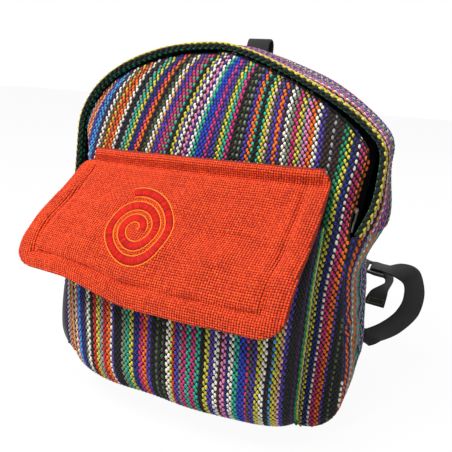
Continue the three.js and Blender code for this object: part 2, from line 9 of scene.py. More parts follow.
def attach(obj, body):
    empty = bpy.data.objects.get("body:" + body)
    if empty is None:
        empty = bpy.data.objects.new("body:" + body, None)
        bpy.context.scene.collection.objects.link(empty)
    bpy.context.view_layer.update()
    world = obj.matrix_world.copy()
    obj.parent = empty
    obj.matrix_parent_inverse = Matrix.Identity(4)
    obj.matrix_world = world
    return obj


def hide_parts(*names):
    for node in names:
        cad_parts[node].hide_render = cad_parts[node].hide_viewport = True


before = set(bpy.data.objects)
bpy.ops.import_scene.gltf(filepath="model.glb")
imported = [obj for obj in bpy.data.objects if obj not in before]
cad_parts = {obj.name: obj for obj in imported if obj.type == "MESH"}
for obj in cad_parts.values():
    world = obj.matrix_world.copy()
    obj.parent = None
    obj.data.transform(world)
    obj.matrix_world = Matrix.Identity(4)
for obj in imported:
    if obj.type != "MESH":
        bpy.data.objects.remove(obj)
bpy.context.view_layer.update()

# Striped handwoven backpack with an embroidered flap.
# Shapes are worked out in millimetres, as the bag was cut, and makePiece turns them into metres.
mm = 0.001
scene = bpy.context.scene


# Camera: stands to the right of the bag, a little above it

camera = {
    "focalPixels": 500,
    "framePixels": 452,
    "azimuth": 22,
    "elevation": 16,
    "roll": -3.67,
    "place": (191.78, -463.71, 306.64),
}


def addCamera(plan):
    turn, rise, roll = (math.radians(plan[key]) for key in ("azimuth", "elevation", "roll"))
    back = Vector((math.sin(turn) * math.cos(rise), -math.cos(turn) * math.cos(rise), math.sin(rise)))
    right = Vector((math.cos(turn), math.sin(turn), 0))
    up = right.cross(-back)
    rolledRight = math.cos(roll) * right - math.sin(roll) * up
    rolledUp = math.sin(roll) * right + math.cos(roll) * up
    data = bpy.data.cameras.new("photoCamera")
    data.sensor_width = 36
    data.lens = 36 * plan["focalPixels"] / plan["framePixels"]
    data.clip_start = 0.01
    data.clip_end = 20
    eye = bpy.data.objects.new("photoCamera", data)
    turned = Matrix((rolledRight, rolledUp, back)).transposed().to_4x4()
    eye.matrix_world = Matrix.Translation(Vector(plan["place"]) * mm) @ turned
    scene.collection.objects.link(eye)
    scene.camera = eye


addCamera(camera)


# Yarn and finish colours, as the eye sees them on a screen

yarnHex = {
    "white": "dcd8cc", "rose": "cfa9ae", "pink": "d07aa8", "magenta": "c2316f", "red": "c32a26",
    "rust": "a8401f", "orange": "ea6a1a", "amber": "d89a34", "tan": "cf9f6c", "yellow": "c6bd3e",
    "olive": "4b5538", "sage": "77836a", "grey": "8d8f92", "green": "1f8a5c", "teal": "2fa389",
    "sky": "3f92cf", "royal": "2740b4", "navy": "232a78", "purple": "4d3b9c", "plum": "3c2450",
    "brown": "352320", "black": "121215", "pine": "0e231b",
}


def linear(code):
    parts = [int(code[i:i + 2], 16) / 255 for i in (0, 2, 4)]
    return tuple(p / 12.92 if p < 0.04045 else ((p + 0.055) / 1.055) ** 2.4 for p in parts) + (1.0,)


yarns = {name: linear(code) for name, code in yarnHex.items()}


def sequence(plan):  # "white 2, navy 3" becomes one colour name for each yarn
    names = []
    for entry in plan.split(","):
        colour, count = entry.split()
        names += [colour] * int(count)
    return names


# The weaver's order of yarns, from left to right as the bag is seen

frontPlan = sequence(
    "plum 2, grey 2, orange 1, rust 2, tan 2, purple 2, sky 3, plum 2, white 2, olive 1, rust 1, yellow 1,"
    "orange 1, rust 1, orange 2, white 2, black 3, grey 1, teal 2, yellow 2, navy 3, magenta 1, orange 2,"
    "black 2, olive 2, white 2, amber 1, purple 3, magenta 2, sage 1, magenta 1, teal 1, black 2, yellow 2,"
    "purple 1, white 2, brown 1, pink 2, navy 1, white 2, teal 2, royal 4, magenta 2, navy 1, purple 2,"
    "olive 1, yellow 2, teal 2, magenta 2, black 2, olive 1, black 1, sage 1, black 1, purple 2, orange 2,"
    "teal 1, black 2, teal 1, yellow 2, rose 1, olive 1, purple 2, orange 2, purple 1, brown 1, white 2,"
    "sage 2, magenta 2, yellow 2, grey 1, pink 2, orange 2, white 2, purple 2, brown 3, grey 1, brown 3,"
    "green 2, yellow 2, navy 2, white 1, magenta 2, orange 2, purple 1, black 2, olive 1, black 2, pine 1,"
    "white 2, yellow 2, navy 3, orange 1, plum 2, black 4"
)
pocketPlan = sequence(
    "black 3, navy 2, black 2, plum 2, sage 1, black 2, purple 2, orange 1, plum 2, grey 2, black 1, plum 1,"
    "grey 2, orange 1, brown 1, rust 1, yellow 1, tan 1, pink 1, pine 1, yellow 1, white 1, magenta 1, sky 2,"
    "navy 2, plum 2, sage 1, white 2, pine 2, red 2, yellow 2, grey 2, red 2, orange 2, white 1, purple 1,"
    "black 4, sage 2, teal 2, yellow 2, navy 3, magenta 2, orange 2, purple 2, black 2, olive 1, black 2,"
    "olive 1, black 1, white 2, yellow 1, red 1, purple 2, sage 1, magenta 2, teal 2, magenta 2, teal 2,"
    "black 2, yellow 2, purple 2, white 2, brown 1, pink 2, navy 1, white 2, teal 2, royal 3, magenta 1,"
    "olive 1, purple 2, yellow 2, white 2, black 1, brown 1, sky 1, yellow 2, tan 1, rose 1, purple 2,"
    "black 5, plum 2, black 2, green 3, yellow 3, navy 4, black 1"
)
coverPlan = sequence(
    "black 2, teal 1, pine 2, green 1, pine 1, black 1, yellow 2, rose 1, black 2, orange 1, grey 1, white 1,"
    "magenta 1, purple 2, pink 1, sage 1, brown 2, orange 1, purple 2, navy 2, grey 1, magenta 2, black 3,"
    "teal 2, yellow 1, plum 3, white 1, olive 2, royal 2, pink 1, black 3, orange 2, sage 1, purple 3,"
    "teal 1, white 2, brown 2, magenta 1, navy 3, yellow 2, black 4, green 1, rust 2, plum 3, sky 1, grey 2"
)
gussetPlan = sequence(
    "navy 2, orange 2, plum 3, grey 3, white 1, sage 2, orange 2, rust 1, teal 1, grey 2, teal 1, magenta 1,"
    "green 2, plum 3, grey 2, sky 1, black 3, yellow 1, purple 3, olive 2, white 1, navy 2, pink 2, black 4,"
    "teal 2, orange 1, brown 2, royal 2, magenta 2, black 3, sage 2, yellow 2, purple 2, white 1, plum 3"
)


# Driving sizes of the bag, the same as those of the frame

bag = {
    "halfWidth": 152, "height": 340, "depth": 124, "cornerRadius": 36, "leftBelly": 13, "leftWaist": 2,
    "cornerTurn": 0.45,  # handle of the bottom corner's curve, as a share of its radius
    "flankRise": 62, "waistDrop": 46, "waistLean": 4,  # handles of the curve from corner to waist
    "waistHalf": 142, "waistHeight": 184, "shoulderHalf": 151, "archStart": 262,
    "slackArch": (127, 304, 30), "fullArch": (135, 313, 70),  # first handle's x and z, second handle's x
    "shoulderRound": 9,  # in half millimetres, the step of the outline's points
    "middleZ": 170, "cloth": 2, "seam": 0.5,
    "frontBulge": 13, "leanStart": 140, "leanSteady": 180, "topLean": 30, "leanTop": 346, "leanTwist": 12,
    "bulgeHeight": 172, "bulgeReach": 190, "bulgeSquare": 3.5, "bulgeFlat": 4,
    "sideBelly": 5, "bellyStart": 0.4, "bellyEnd": 60,
    "zipEnd": 190, "zipInset": 11, "panelInset": 14, "teethDepth": 15,
    "gapeHeight": 226, "gapeRise": 95, "gapeFall": 50, "gapeOut": 9,
    "bulgeOut": 14, "bulgeOutHeight": 197, "bulgeOutReach": 54,
}
backY = bag["depth"] / 2


def smooth(value):
    t = np.clip(value, 0, 1)
    return t * t * (3 - 2 * t)


def hill(value, centre, reach):
    return smooth(1 - np.abs(value - centre) / reach)


def bell(value, centre, spread):
    return np.exp(-(((value - centre) / spread) ** 2))


def leanShare(z):  # upright below, then a bend, then a steady lean back
    bend = bag["leanSteady"] - bag["leanStart"]
    straight = bag["leanTop"] - (bag["leanStart"] + bag["leanSteady"]) / 2
    curved = (z - bag["leanStart"]) ** 2 / (2 * bend * straight)
    steady = (z - (bag["leanStart"] + bag["leanSteady"]) / 2) / straight
    return np.where(z < bag["leanStart"], 0, np.where(z < bag["leanSteady"], curved, steady))


def frontY(x, z):  # the front's leaning and bulging face
    lean = (bag["topLean"] - bag["leanTwist"] * x / bag["halfWidth"]) * leanShare(z)
    level = 1 - np.minimum(1, np.abs(x / bag["halfWidth"])) ** bag["bulgeSquare"]
    upright = 1 - np.minimum(1, np.abs((z - bag["bulgeHeight"]) / bag["bulgeReach"])) ** bag["bulgeFlat"]
    return -bag["depth"] / 2 + lean - bag["frontBulge"] * level * upright


def bezier(a, b, c, d, steps=60):
    t = np.linspace(0, 1, steps)[:, None]
    a, b, c, d = (np.array(p, float) for p in (a, b, c, d))
    return (1 - t) ** 3 * a + 3 * (1 - t) ** 2 * t * b + 3 * (1 - t) * t * t * c + t ** 3 * d


def runLength(points):
    return np.concatenate([[0], np.cumsum(np.linalg.norm(np.diff(points, axis=0), axis=1))])


def halfOutline(belly, waistOut, arch):  # one half, from the middle of the base to the apex
    corner, height = bag["cornerRadius"], bag["height"]
    wide = bag["halfWidth"] + belly
    waist, waistZ = bag["waistHalf"] + waistOut, bag["waistHeight"]
    turn = corner * bag["cornerTurn"]
    archX, archZ, crownX = arch
    low = bezier((wide - corner, 0), (wide - turn, 0), (wide, turn), (wide, corner))
    flank = bezier((wide, corner), (wide, corner + bag["flankRise"]),
                   (waist - bag["waistLean"], waistZ - bag["waistDrop"]), (waist, waistZ))
    crown = bezier((bag["shoulderHalf"], bag["archStart"]), (archX, archZ), (crownX, height), (0, height))
    points = np.vstack([[(0.0, 0.0)], low, flank[1:], crown])
    run = runLength(points)
    waistAt = len(low) + len(flank) - 1
    stops = run[[0, waistAt, waistAt + 1, -1]]
    return {"points": roundShoulder(points, run, stops[2]), "run": evenRun(run), "stops": stops}


def evenRun(run):  # every half millimetre
    return np.linspace(0, run[-1], int(run[-1] * 2) + 1)


def roundShoulder(points, run, shoulder):  # softens the corner between the straight side and the arch
    even = evenRun(run)
    line = np.stack([np.interp(even, run, points[:, axis]) for axis in (0, 1)], -1)
    soft = bag["shoulderRound"]
    reach = 4 * soft
    weight = bell(np.arange(-reach, reach + 1), 0, 2 * soft)
    weight = weight / weight.sum()
    padded = np.vstack([np.repeat(line[:1], reach, 0), line, np.repeat(line[-1:], reach, 0)])
    rounded = np.stack([np.convolve(padded[:, axis], weight, "valid") for axis in (0, 1)], -1)
    near = hill(even, shoulder, 5 * soft)[:, None]
    return line + (rounded - line) * near


rightHalf = halfOutline(0, 0, bag["slackArch"])
leftHalf = halfOutline(bag["leftBelly"], bag["leftWaist"], bag["fullArch"])
halfLength = rightHalf["stops"][-1]


def outline(share, inset):  # share 0 is the middle of the base, 1 the apex by the right, 2 the base again
    share = np.asarray(share, float)
    length = np.clip(np.where(share > 1, 2 - share, share), 0, 1) * halfLength
    found = []
    for half, side in ((rightHalf, 1), (leftHalf, -1)):
        t = np.interp(length, rightHalf["stops"], half["stops"])
        ahead, behind = np.minimum(t + 0.5, half["stops"][-1]), np.maximum(t - 0.5, 0)
        here, before, after = ([np.interp(where, half["run"], half["points"][:, axis]) for axis in (0, 1)]
                               for where in (t, behind, ahead))
        tangentX, tangentZ = after[0] - before[0], after[1] - before[1]
        size = np.hypot(tangentX, tangentZ)
        found.append(((here[0] - tangentZ / size * inset) * side, here[1] + tangentX / size * inset))
    return tuple(np.where(share > 1, onLeft, onRight) for onRight, onLeft in zip(*found))


def shareAt(z):  # the share at height z on the straight stretch beside the zip
    rise = (bag["archStart"] - bag["waistHeight"]) / math.hypot(
        bag["archStart"] - bag["waistHeight"], bag["shoulderHalf"] - bag["waistHalf"])
    return (rightHalf["stops"][1] + (z - bag["waistHeight"]) / rise) / halfLength


zipShare = shareAt(bag["zipEnd"])


def ripple(x, y, size, seed):  # smooth uneven waves about one unit high, for cloth that was never quite flat
    draw = np.random.default_rng(seed)
    total = np.zeros(np.broadcast(x, y).shape)
    for _ in range(8):
        angle, phase = draw.uniform(0, 2 * math.pi, 2)
        wave = 2 * math.pi / (size * draw.uniform(0.7, 1.7))
        total += np.sin((x * math.cos(angle) + y * math.sin(angle)) * wave + phase)
    return total / 3


# Mesh makers

def link(name, mesh):
    piece = bpy.data.objects.new(name, mesh)
    scene.collection.objects.link(piece)
    return piece


def makePiece(name, points, faces, material, uv):
    mesh = bpy.data.meshes.new(name)
    mesh.from_pydata((np.asarray(points) * mm).tolist(), [], [list(map(int, f)) for f in faces])
    mesh.materials.append(material)
    mesh.polygons.foreach_set("use_smooth", [True] * len(mesh.polygons))
    if uv is not None:
        corners = np.zeros(len(mesh.loops), np.int32)
        mesh.loops.foreach_get("vertex_index", corners)
        mesh.uv_layers.new(name="clothUv").data.foreach_set("uv", (np.asarray(uv) * mm)[corners].ravel())
    return link(name, mesh)


def volumeOf(points, faces):  # six times the volume, less than zero when the faces point inwards
    total = 0.0
    for f in faces:
        for i in range(1, len(f) - 1):
            total += np.dot(points[f[0]], np.cross(points[f[i]], points[f[i + 1]]))
    return total


def outward(points, faces):
    faces = [tuple(map(int, f)) for f in faces]
    return [f[::-1] for f in faces] if volumeOf(points, faces) < 0 else faces


def shell(name, outer, inner, material, uv):  # a closed sheet between two grids of points
    rows, columns = outer.shape[:2]
    top = np.arange(rows * columns).reshape(rows, columns)
    quads = np.stack([top[:-1, :-1], top[:-1, 1:], top[1:, 1:], top[1:, :-1]], -1).reshape(-1, 4)
    faces = quads.tolist() + (quads[:, ::-1] + rows * columns).tolist()
    rim = np.concatenate([top[0, :-1], top[:-1, -1], top[-1, :0:-1], top[:0:-1, 0]])
    for a, b in zip(rim, np.roll(rim, -1)):
        faces.append((b, a, a + rows * columns, b + rows * columns))
    points = np.concatenate([outer.reshape(-1, 3), inner.reshape(-1, 3)])
    both = np.concatenate([uv.reshape(-1, 2)] * 2)
    return makePiece(name, points, outward(points, faces), material, both)


def tube(name, rings, material, uv=None):  # rings of points, with capped ends
    steps, count = rings.shape[:2]
    index = np.arange(steps * count).reshape(steps, count)
    faces = []
    for a, b in zip(index[:-1], index[1:]):
        faces += np.stack([a, np.roll(a, -1), np.roll(b, -1), b], -1).tolist()
    faces += [index[0][::-1].tolist(), index[-1].tolist()]
    points = rings.reshape(-1, 3)
    flat = None if uv is None else uv.reshape(-1, 2)
    return makePiece(name, points, outward(points, faces), material, flat)


def unit(vectors):
    return vectors / np.maximum(np.linalg.norm(vectors, axis=-1, keepdims=True), 1e-9)


def slopes(place, s, t, step=0.4):  # directions along s and along t on a surface, and the way out of it
    alongS = unit(place(s + step, t) - place(s - step, t))
    alongT = unit(place(s, t + step) - place(s, t - step))
    return alongS, alongT, unit(np.cross(alongS, alongT))


# Shader groups and materials

def shaderGroup(name, inputs, outputs):
    tree = bpy.data.node_groups.new(name, "ShaderNodeTree")
    for label, kind, value in inputs:
        socket = tree.interface.new_socket(label, in_out="INPUT", socket_type=kind)
        socket.default_value = value
    for label, kind in outputs:
        tree.interface.new_socket(label, in_out="OUTPUT", socket_type=kind)
    return tree, tree.nodes.new("NodeGroupInput"), tree.nodes.new("NodeGroupOutput")


def math1(tree, operation, a, b=None):
    node = tree.nodes.new("ShaderNodeMath")
    node.operation = operation
    for socket, value in zip(node.inputs, (a, b)):
        if value is None:
            continue
        if isinstance(value, (int, float)):
            socket.default_value = value
        else:
            tree.links.new(value, socket)
    return node.outputs[0]


def fibreGroup():  # loose cotton: uneven dye, and fine fibres that make a soft relief
    tree, given, result = shaderGroup(
        "cottonFibre",
        [("Colour", "NodeSocketColor", (0.5, 0.5, 0.5, 1)), ("Dye Spread", "NodeSocketFloat", 0.25),
         ("Fibre Scale", "NodeSocketFloat", 1400.0), ("Patch Scale", "NodeSocketFloat", 90.0)],
        [("Colour", "NodeSocketColor"), ("Height", "NodeSocketFloat"), ("Roughness", "NodeSocketFloat")])
    place = tree.nodes.new("ShaderNodeTexCoord")
    fine, patch = tree.nodes.new("ShaderNodeTexNoise"), tree.nodes.new("ShaderNodeTexNoise")
    for noise, label, detail in ((fine, "Fibre Scale", 3.0), (patch, "Patch Scale", 2.0)):
        tree.links.new(place.outputs["Object"], noise.inputs["Vector"])
        tree.links.new(given.outputs[label], noise.inputs["Scale"])
        noise.inputs["Detail"].default_value = detail
    mixed = math1(tree, "ADD", math1(tree, "MULTIPLY", fine.outputs["Fac"], 0.6),
                  math1(tree, "MULTIPLY", patch.outputs["Fac"], 0.4))
    swing = math1(tree, "MULTIPLY", math1(tree, "SUBTRACT", mixed, 0.5), given.outputs["Dye Spread"])
    value = math1(tree, "ADD", math1(tree, "MULTIPLY", swing, 3.0), 1.0)
    shade = tree.nodes.new("ShaderNodeHueSaturation")
    tree.links.new(given.outputs["Colour"], shade.inputs["Color"])
    tree.links.new(value, shade.inputs["Value"])
    tree.links.new(shade.outputs["Color"], result.inputs["Colour"])
    tree.links.new(fine.outputs["Fac"], result.inputs["Height"])
    rough = math1(tree, "ADD", math1(tree, "MULTIPLY", fine.outputs["Fac"], 0.2), 0.74)
    tree.links.new(rough, result.inputs["Roughness"])
    return tree


def ribGroup():  # ribs and fine threads on a piece's own cloth map, for webbing and tape, with a painted highlight on the rib crests
    tree, given, result = shaderGroup(
        "wovenRibs",
        [("Colour", "NodeSocketColor", (0.02, 0.02, 0.02, 1)), ("Along Pitch", "NodeSocketFloat", 0.0016),
         ("Across Pitch", "NodeSocketFloat", 0.0011), ("Crest Highlight", "NodeSocketFloat", 2.2)],
        [("Colour", "NodeSocketColor"), ("Height", "NodeSocketFloat")])
    place = tree.nodes.new("ShaderNodeUVMap")
    place.uv_map = "clothUv"
    split = tree.nodes.new("ShaderNodeSeparateXYZ")
    tree.links.new(place.outputs["UV"], split.inputs[0])

    def wave(coordinate, pitch, shift):
        turns = math1(tree, "DIVIDE", coordinate, pitch)
        angle = math1(tree, "MULTIPLY", math1(tree, "ADD", turns, shift), math.pi)
        return math1(tree, "ABSOLUTE", math1(tree, "SINE", angle))

    across = math1(tree, "DIVIDE", split.outputs[0], given.outputs["Across Pitch"])
    stagger = math1(tree, "MULTIPLY", math1(tree, "FLOOR", across), 0.5)
    ribs = wave(split.outputs[0], given.outputs["Across Pitch"], 0.0)
    rungs = wave(split.outputs[1], given.outputs["Along Pitch"], stagger)
    height = math1(tree, "MULTIPLY", ribs, math1(tree, "ADD", math1(tree, "MULTIPLY", rungs, 0.6), 0.4))
    # painted highlight: the colour is mixed towards a lighter copy of itself where the ribs stand high
    shade = tree.nodes.new("ShaderNodeMix")
    shade.data_type = "RGBA"
    bright = tree.nodes.new("ShaderNodeHueSaturation")
    tree.links.new(given.outputs["Colour"], bright.inputs["Color"])
    tree.links.new(given.outputs["Crest Highlight"], bright.inputs["Value"])
    tree.links.new(height, shade.inputs[0])
    tree.links.new(given.outputs["Colour"], shade.inputs[6])
    tree.links.new(bright.outputs["Color"], shade.inputs[7])
    tree.links.new(shade.outputs[2], result.inputs["Colour"])
    tree.links.new(height, result.inputs["Height"])
    return tree


cottonFibre = fibreGroup()
wovenRibs = ribGroup()


def newMaterial(name, roughness=0.8, sheen=0.0, metallic=0.0):
    material = bpy.data.materials.new(name)
    material.use_nodes = True
    tree = material.node_tree
    surface = tree.nodes["Principled BSDF"]
    surface.inputs["Roughness"].default_value = roughness
    surface.inputs["Metallic"].default_value = metallic
    surface.inputs["Sheen Weight"].default_value = sheen
    surface.inputs["Sheen Roughness"].default_value = 0.5
    surface.inputs["Specular IOR Level"].default_value = 0.3 if metallic == 0 else 0.5
    return material, tree, surface


def addBump(tree, surface, height, strength, distance):
    bump = tree.nodes.new("ShaderNodeBump")
    bump.inputs["Strength"].default_value = strength
    bump.inputs["Distance"].default_value = distance
    tree.links.new(height, bump.inputs["Height"])
    tree.links.new(bump.outputs["Normal"], surface.inputs["Normal"])


def useFibre(tree, surface, colour, spread, strength):
    fibre = tree.nodes.new("ShaderNodeGroup")
    fibre.node_tree = cottonFibre
    fibre.inputs["Dye Spread"].default_value = spread
    if isinstance(colour, tuple):
        fibre.inputs["Colour"].default_value = colour
    else:
        tree.links.new(colour, fibre.inputs["Colour"])
    tree.links.new(fibre.outputs["Colour"], surface.inputs["Base Color"])
    tree.links.new(fibre.outputs["Roughness"], surface.inputs["Roughness"])
    addBump(tree, surface, fibre.outputs["Height"], strength, 0.0004)


def yarnMaterial(name, sheen=0.04, spread=0.2):  # cotton whose dye is carried by each bead of yarn
    material, tree, surface = newMaterial(name, sheen=sheen)
    dye = tree.nodes.new("ShaderNodeAttribute")
    dye.attribute_name = "yarnColour"
    useFibre(tree, surface, dye.outputs["Color"], spread, 0.5)
    return material


def clothMaterial(name, colour, spread=0.3):
    material, tree, surface = newMaterial(name, sheen=0.1)
    useFibre(tree, surface, colour, spread, 0.6)
    return material


def ribbedMaterial(name, colour, along, across, roughness, crestHighlight):  # pitches in millimetres; the last value paints the rib crests lighter, a painted highlight
    material, tree, surface = newMaterial(name, roughness=roughness, sheen=0.05)
    ribs = tree.nodes.new("ShaderNodeGroup")
    ribs.node_tree = wovenRibs
    ribs.inputs["Colour"].default_value = colour
    ribs.inputs["Along Pitch"].default_value = along * mm
    ribs.inputs["Across Pitch"].default_value = across * mm
    ribs.inputs["Crest Highlight"].default_value = crestHighlight
    tree.links.new(ribs.outputs["Colour"], surface.inputs["Base Color"])
    addBump(tree, surface, ribs.outputs["Height"], 0.7, 0.0005)
    return material


def wornMaterial(name, colour, roughness, metallic):  # plastic or metal with faint scuffs
    material, tree, surface = newMaterial(name, roughness=roughness, metallic=metallic)
    scratch = 0.25  # how far the roughness swings
    place = tree.nodes.new("ShaderNodeTexCoord")
    noise = tree.nodes.new("ShaderNodeTexNoise")
    noise.inputs["Scale"].default_value = 700
    noise.inputs["Detail"].default_value = 4
    tree.links.new(place.outputs["Object"], noise.inputs["Vector"])
    shade = tree.nodes.new("ShaderNodeHueSaturation")
    shade.inputs["Color"].default_value = colour
    tree.links.new(math1(tree, "ADD", noise.outputs["Fac"], 0.5), shade.inputs["Value"])
    tree.links.new(shade.outputs["Color"], surface.inputs["Base Color"])
    scuffs = math1(tree, "MULTIPLY", noise.outputs["Fac"], scratch)
    rough = math1(tree, "ADD", scuffs, roughness - scratch / 2)
    tree.links.new(rough, surface.inputs["Roughness"])
    addBump(tree, surface, noise.outputs["Fac"], 0.15, 0.0002)
    return material


stripedYarn = yarnMaterial("stripedYarn")
orangeYarn = yarnMaterial("orangeYarn", sheen=0.1, spread=0.2)
satinThread = yarnMaterial("satinThread", sheen=0.0, spread=0.08)
# near-black ground under the yarn beads of the striped panels, painted shade where it shows between the yarns
gapShadeGround = clothMaterial("gapShadeCloth", linear("0d0c10"))
# the flap's ground cloth is a darker red-brown than its threads, painted shade where it shows between them
shadedOrangeGround = ribbedMaterial("shadedOrangeGround", linear("701804"), 2.05, 2.05, 0.85, 2.0)
redGround = clothMaterial("redGround", linear("96100d"), spread=0.1)
zipTooth = wornMaterial("zipTooth", linear("111113"), 0.45, 0.0)
greenCloth = clothMaterial("greenCloth", linear("15332a"))
# ribbed materials, here and the orange ground above: the last number paints the rib crests lighter, a painted
# highlight
padLining = ribbedMaterial("padLining", linear("1b1b1e"), 2.2, 2.2, 0.85, 2.0)
blackWebbing = ribbedMaterial("blackWebbing", linear("0a0a0b"), 1.7, 1.3, 0.7, 1.6)
zipTapeCloth = ribbedMaterial("zipTapeCloth", linear("08080a"), 1.0, 0.8, 0.85, 1.5)
nickel = wornMaterial("wornNickel", linear("9a978f"), 0.36, 1.0)
blackPlastic = wornMaterial("blackPlastic", linear("141416"), 0.42, 0.0)


# Geometry Nodes: one bead of yarn on every given point, turned along the yarn

def beadTree():
    tree = bpy.data.node_groups.new("yarnBeads", "GeometryNodeTree")
    face = tree.interface
    face.new_socket("Geometry", in_out="INPUT", socket_type="NodeSocketGeometry")
    for label, kind, value in (
            ("Bead Length", "NodeSocketFloat", 0.004), ("Bead Width", "NodeSocketFloat", 0.0024),
            ("Bead Height", "NodeSocketFloat", 0.0016), ("Twist", "NodeSocketFloat", 0.2),
            ("Unevenness", "NodeSocketFloat", 0.1), ("Detail", "NodeSocketInt", 1),
            ("Seed", "NodeSocketInt", 7)):
        face.new_socket(label, in_out="INPUT", socket_type=kind).default_value = value
    face.new_socket("Material", in_out="INPUT", socket_type="NodeSocketMaterial")
    face.new_socket("Geometry", in_out="OUTPUT", socket_type="NodeSocketGeometry")
    nodes, links = tree.nodes, tree.links
    given, result = nodes.new("NodeGroupInput"), nodes.new("NodeGroupOutput")

    def vectorOf(name):
        node = nodes.new("GeometryNodeInputNamedAttribute")
        node.data_type = "FLOAT_VECTOR"
        node.inputs["Name"].default_value = name
        return node.outputs["Attribute"]

    def aligned(axis, vector, rotation=None):
        node = nodes.new("FunctionNodeAlignRotationToVector")
        node.axis = axis
        node.pivot_axis = "AUTO" if rotation is None else "Z"
        links.new(vector, node.inputs["Vector"])
        if rotation is not None:
            links.new(rotation, node.inputs["Rotation"])
        return node.outputs["Rotation"]

    def drawn(low, high, offset):
        node = nodes.new("FunctionNodeRandomValue")
        node.data_type = "FLOAT"
        node.inputs[2].default_value = low
        node.inputs[3].default_value = high
        seed = nodes.new("ShaderNodeMath")
        links.new(given.outputs["Seed"], seed.inputs[0])
        seed.inputs[1].default_value = offset
        links.new(seed.outputs[0], node.inputs["Seed"])
        amount = nodes.new("ShaderNodeMath")
        amount.operation = "MULTIPLY"
        links.new(node.outputs[1], amount.inputs[0])
        links.new(given.outputs["Unevenness"], amount.inputs[1])
        return amount.outputs[0]

    def plus(a, b):
        node = nodes.new("ShaderNodeMath")
        for socket, value in zip(node.inputs, (a, b)):
            if isinstance(value, float):
                socket.default_value = value
            else:
                links.new(value, socket)
        return node.outputs[0]

    bead = nodes.new("GeometryNodeMeshIcoSphere")
    bead.inputs["Radius"].default_value = 0.5
    links.new(given.outputs["Detail"], bead.inputs["Subdivisions"])
    size = nodes.new("ShaderNodeCombineXYZ")
    for i, label in enumerate(("Bead Length", "Bead Width", "Bead Height")):
        links.new(given.outputs[label], size.inputs[i])
    shaped = nodes.new("GeometryNodeTransform")
    links.new(bead.outputs["Mesh"], shaped.inputs["Geometry"])
    links.new(size.outputs[0], shaped.inputs["Scale"])

    twist = nodes.new("FunctionNodeAxisAngleToRotation")
    twist.inputs["Axis"].default_value = (0, 0, 1)
    links.new(plus(given.outputs["Twist"], drawn(-1.0, 1.0, 1)), twist.inputs["Angle"])
    turned = nodes.new("FunctionNodeRotateRotation")
    turned.rotation_space = "LOCAL"
    links.new(aligned("X", vectorOf("along"), aligned("Z", vectorOf("out"))), turned.inputs["Rotation"])
    links.new(twist.outputs["Rotation"], turned.inputs["Rotate By"])
    spread = nodes.new("ShaderNodeCombineXYZ")
    for i in range(3):
        links.new(plus(drawn(-1.0, 1.0, 2 + i), 1.0), spread.inputs[i])

    place = nodes.new("GeometryNodeInstanceOnPoints")
    links.new(given.outputs["Geometry"], place.inputs["Points"])
    links.new(shaped.outputs["Geometry"], place.inputs["Instance"])
    links.new(turned.outputs["Rotation"], place.inputs["Rotation"])
    links.new(spread.outputs[0], place.inputs["Scale"])
    real = nodes.new("GeometryNodeRealizeInstances")
    links.new(place.outputs["Instances"], real.inputs["Geometry"])
    soft = nodes.new("GeometryNodeSetShadeSmooth")
    links.new(real.outputs["Geometry"], soft.inputs["Geometry"])
    finish = nodes.new("GeometryNodeSetMaterial")
    links.new(soft.outputs["Geometry"], finish.inputs["Geometry"])
    links.new(given.outputs["Material"], finish.inputs["Material"])
    links.new(finish.outputs["Geometry"], result.inputs["Geometry"])
    return tree


yarnBeads = beadTree()


def settle(carrier, name, tree, values):  # runs a node tree, and keeps the result as a plain mesh
    modifier = carrier.modifiers.new("made", "NODES")
    modifier.node_group = tree
    for item in tree.interface.items_tree:
        if item.in_out == "INPUT" and item.name in values:
            modifier[item.identifier] = values[item.name]
    bpy.context.view_layer.update()
    graph = bpy.context.evaluated_depsgraph_get()
    mesh = bpy.data.meshes.new_from_object(carrier.evaluated_get(graph))
    carrier.modifiers.remove(modifier)
    bpy.data.objects.remove(carrier)
    for attribute in [a.name for a in mesh.attributes if a.name in ("along", "out")]:
        mesh.attributes.remove(mesh.attributes[attribute])
    mesh.name = name
    return link(name, mesh)


def addBeads(name, points, along, out, colours, size, material, seed, detail=1, twist=0.14, uneven=0.1):
    mesh = bpy.data.meshes.new(name + "Points")
    mesh.from_pydata((points * mm).tolist(), [], [])
    for label, vectors in (("along", along), ("out", out)):
        mesh.attributes.new(label, "FLOAT_VECTOR", "POINT").data.foreach_set("vector", vectors.ravel())
    mesh.attributes.new("yarnColour", "FLOAT_COLOR", "POINT").data.foreach_set("color", colours.ravel())
    carrier = link(name + "Points", mesh)
    values = {"Bead Length": size[0] * mm, "Bead Width": size[1] * mm, "Bead Height": size[2] * mm,
              "Twist": twist, "Unevenness": uneven, "Detail": detail, "Seed": seed, "Material": material}
    return settle(carrier, name, yarnBeads, values)


def dyed(names, count, draw):  # each bead is a little lighter or darker than its yarn
    base = np.array([yarns[n] for n in names])
    shade = 1 + weave["shadeSpread"] * draw.uniform(-1, 1, (count, 1))
    colours = base * np.hstack([np.repeat(shade, 3, axis=1), np.ones((count, 1))])
    return np.clip(colours, 0, 1).astype(np.float32)


weave = {
    "yarnPitch": 2.05,  # from one warp yarn to the next
    "beadPitch": 6.0,  # between two beads of the same yarn
    "beadShare": 0.8,  # bead length as a share of that
    "beadWidth": 2.8,
    "beadHeight": 1.9,
    "lift": 0.25,  # beads' middle above the ground cloth
    "acrossJitter": 0.12, "alongJitter": 0.35, "wander": 0.5, "wanderSize": 60,
    "shadeSpread": 0.16,
}


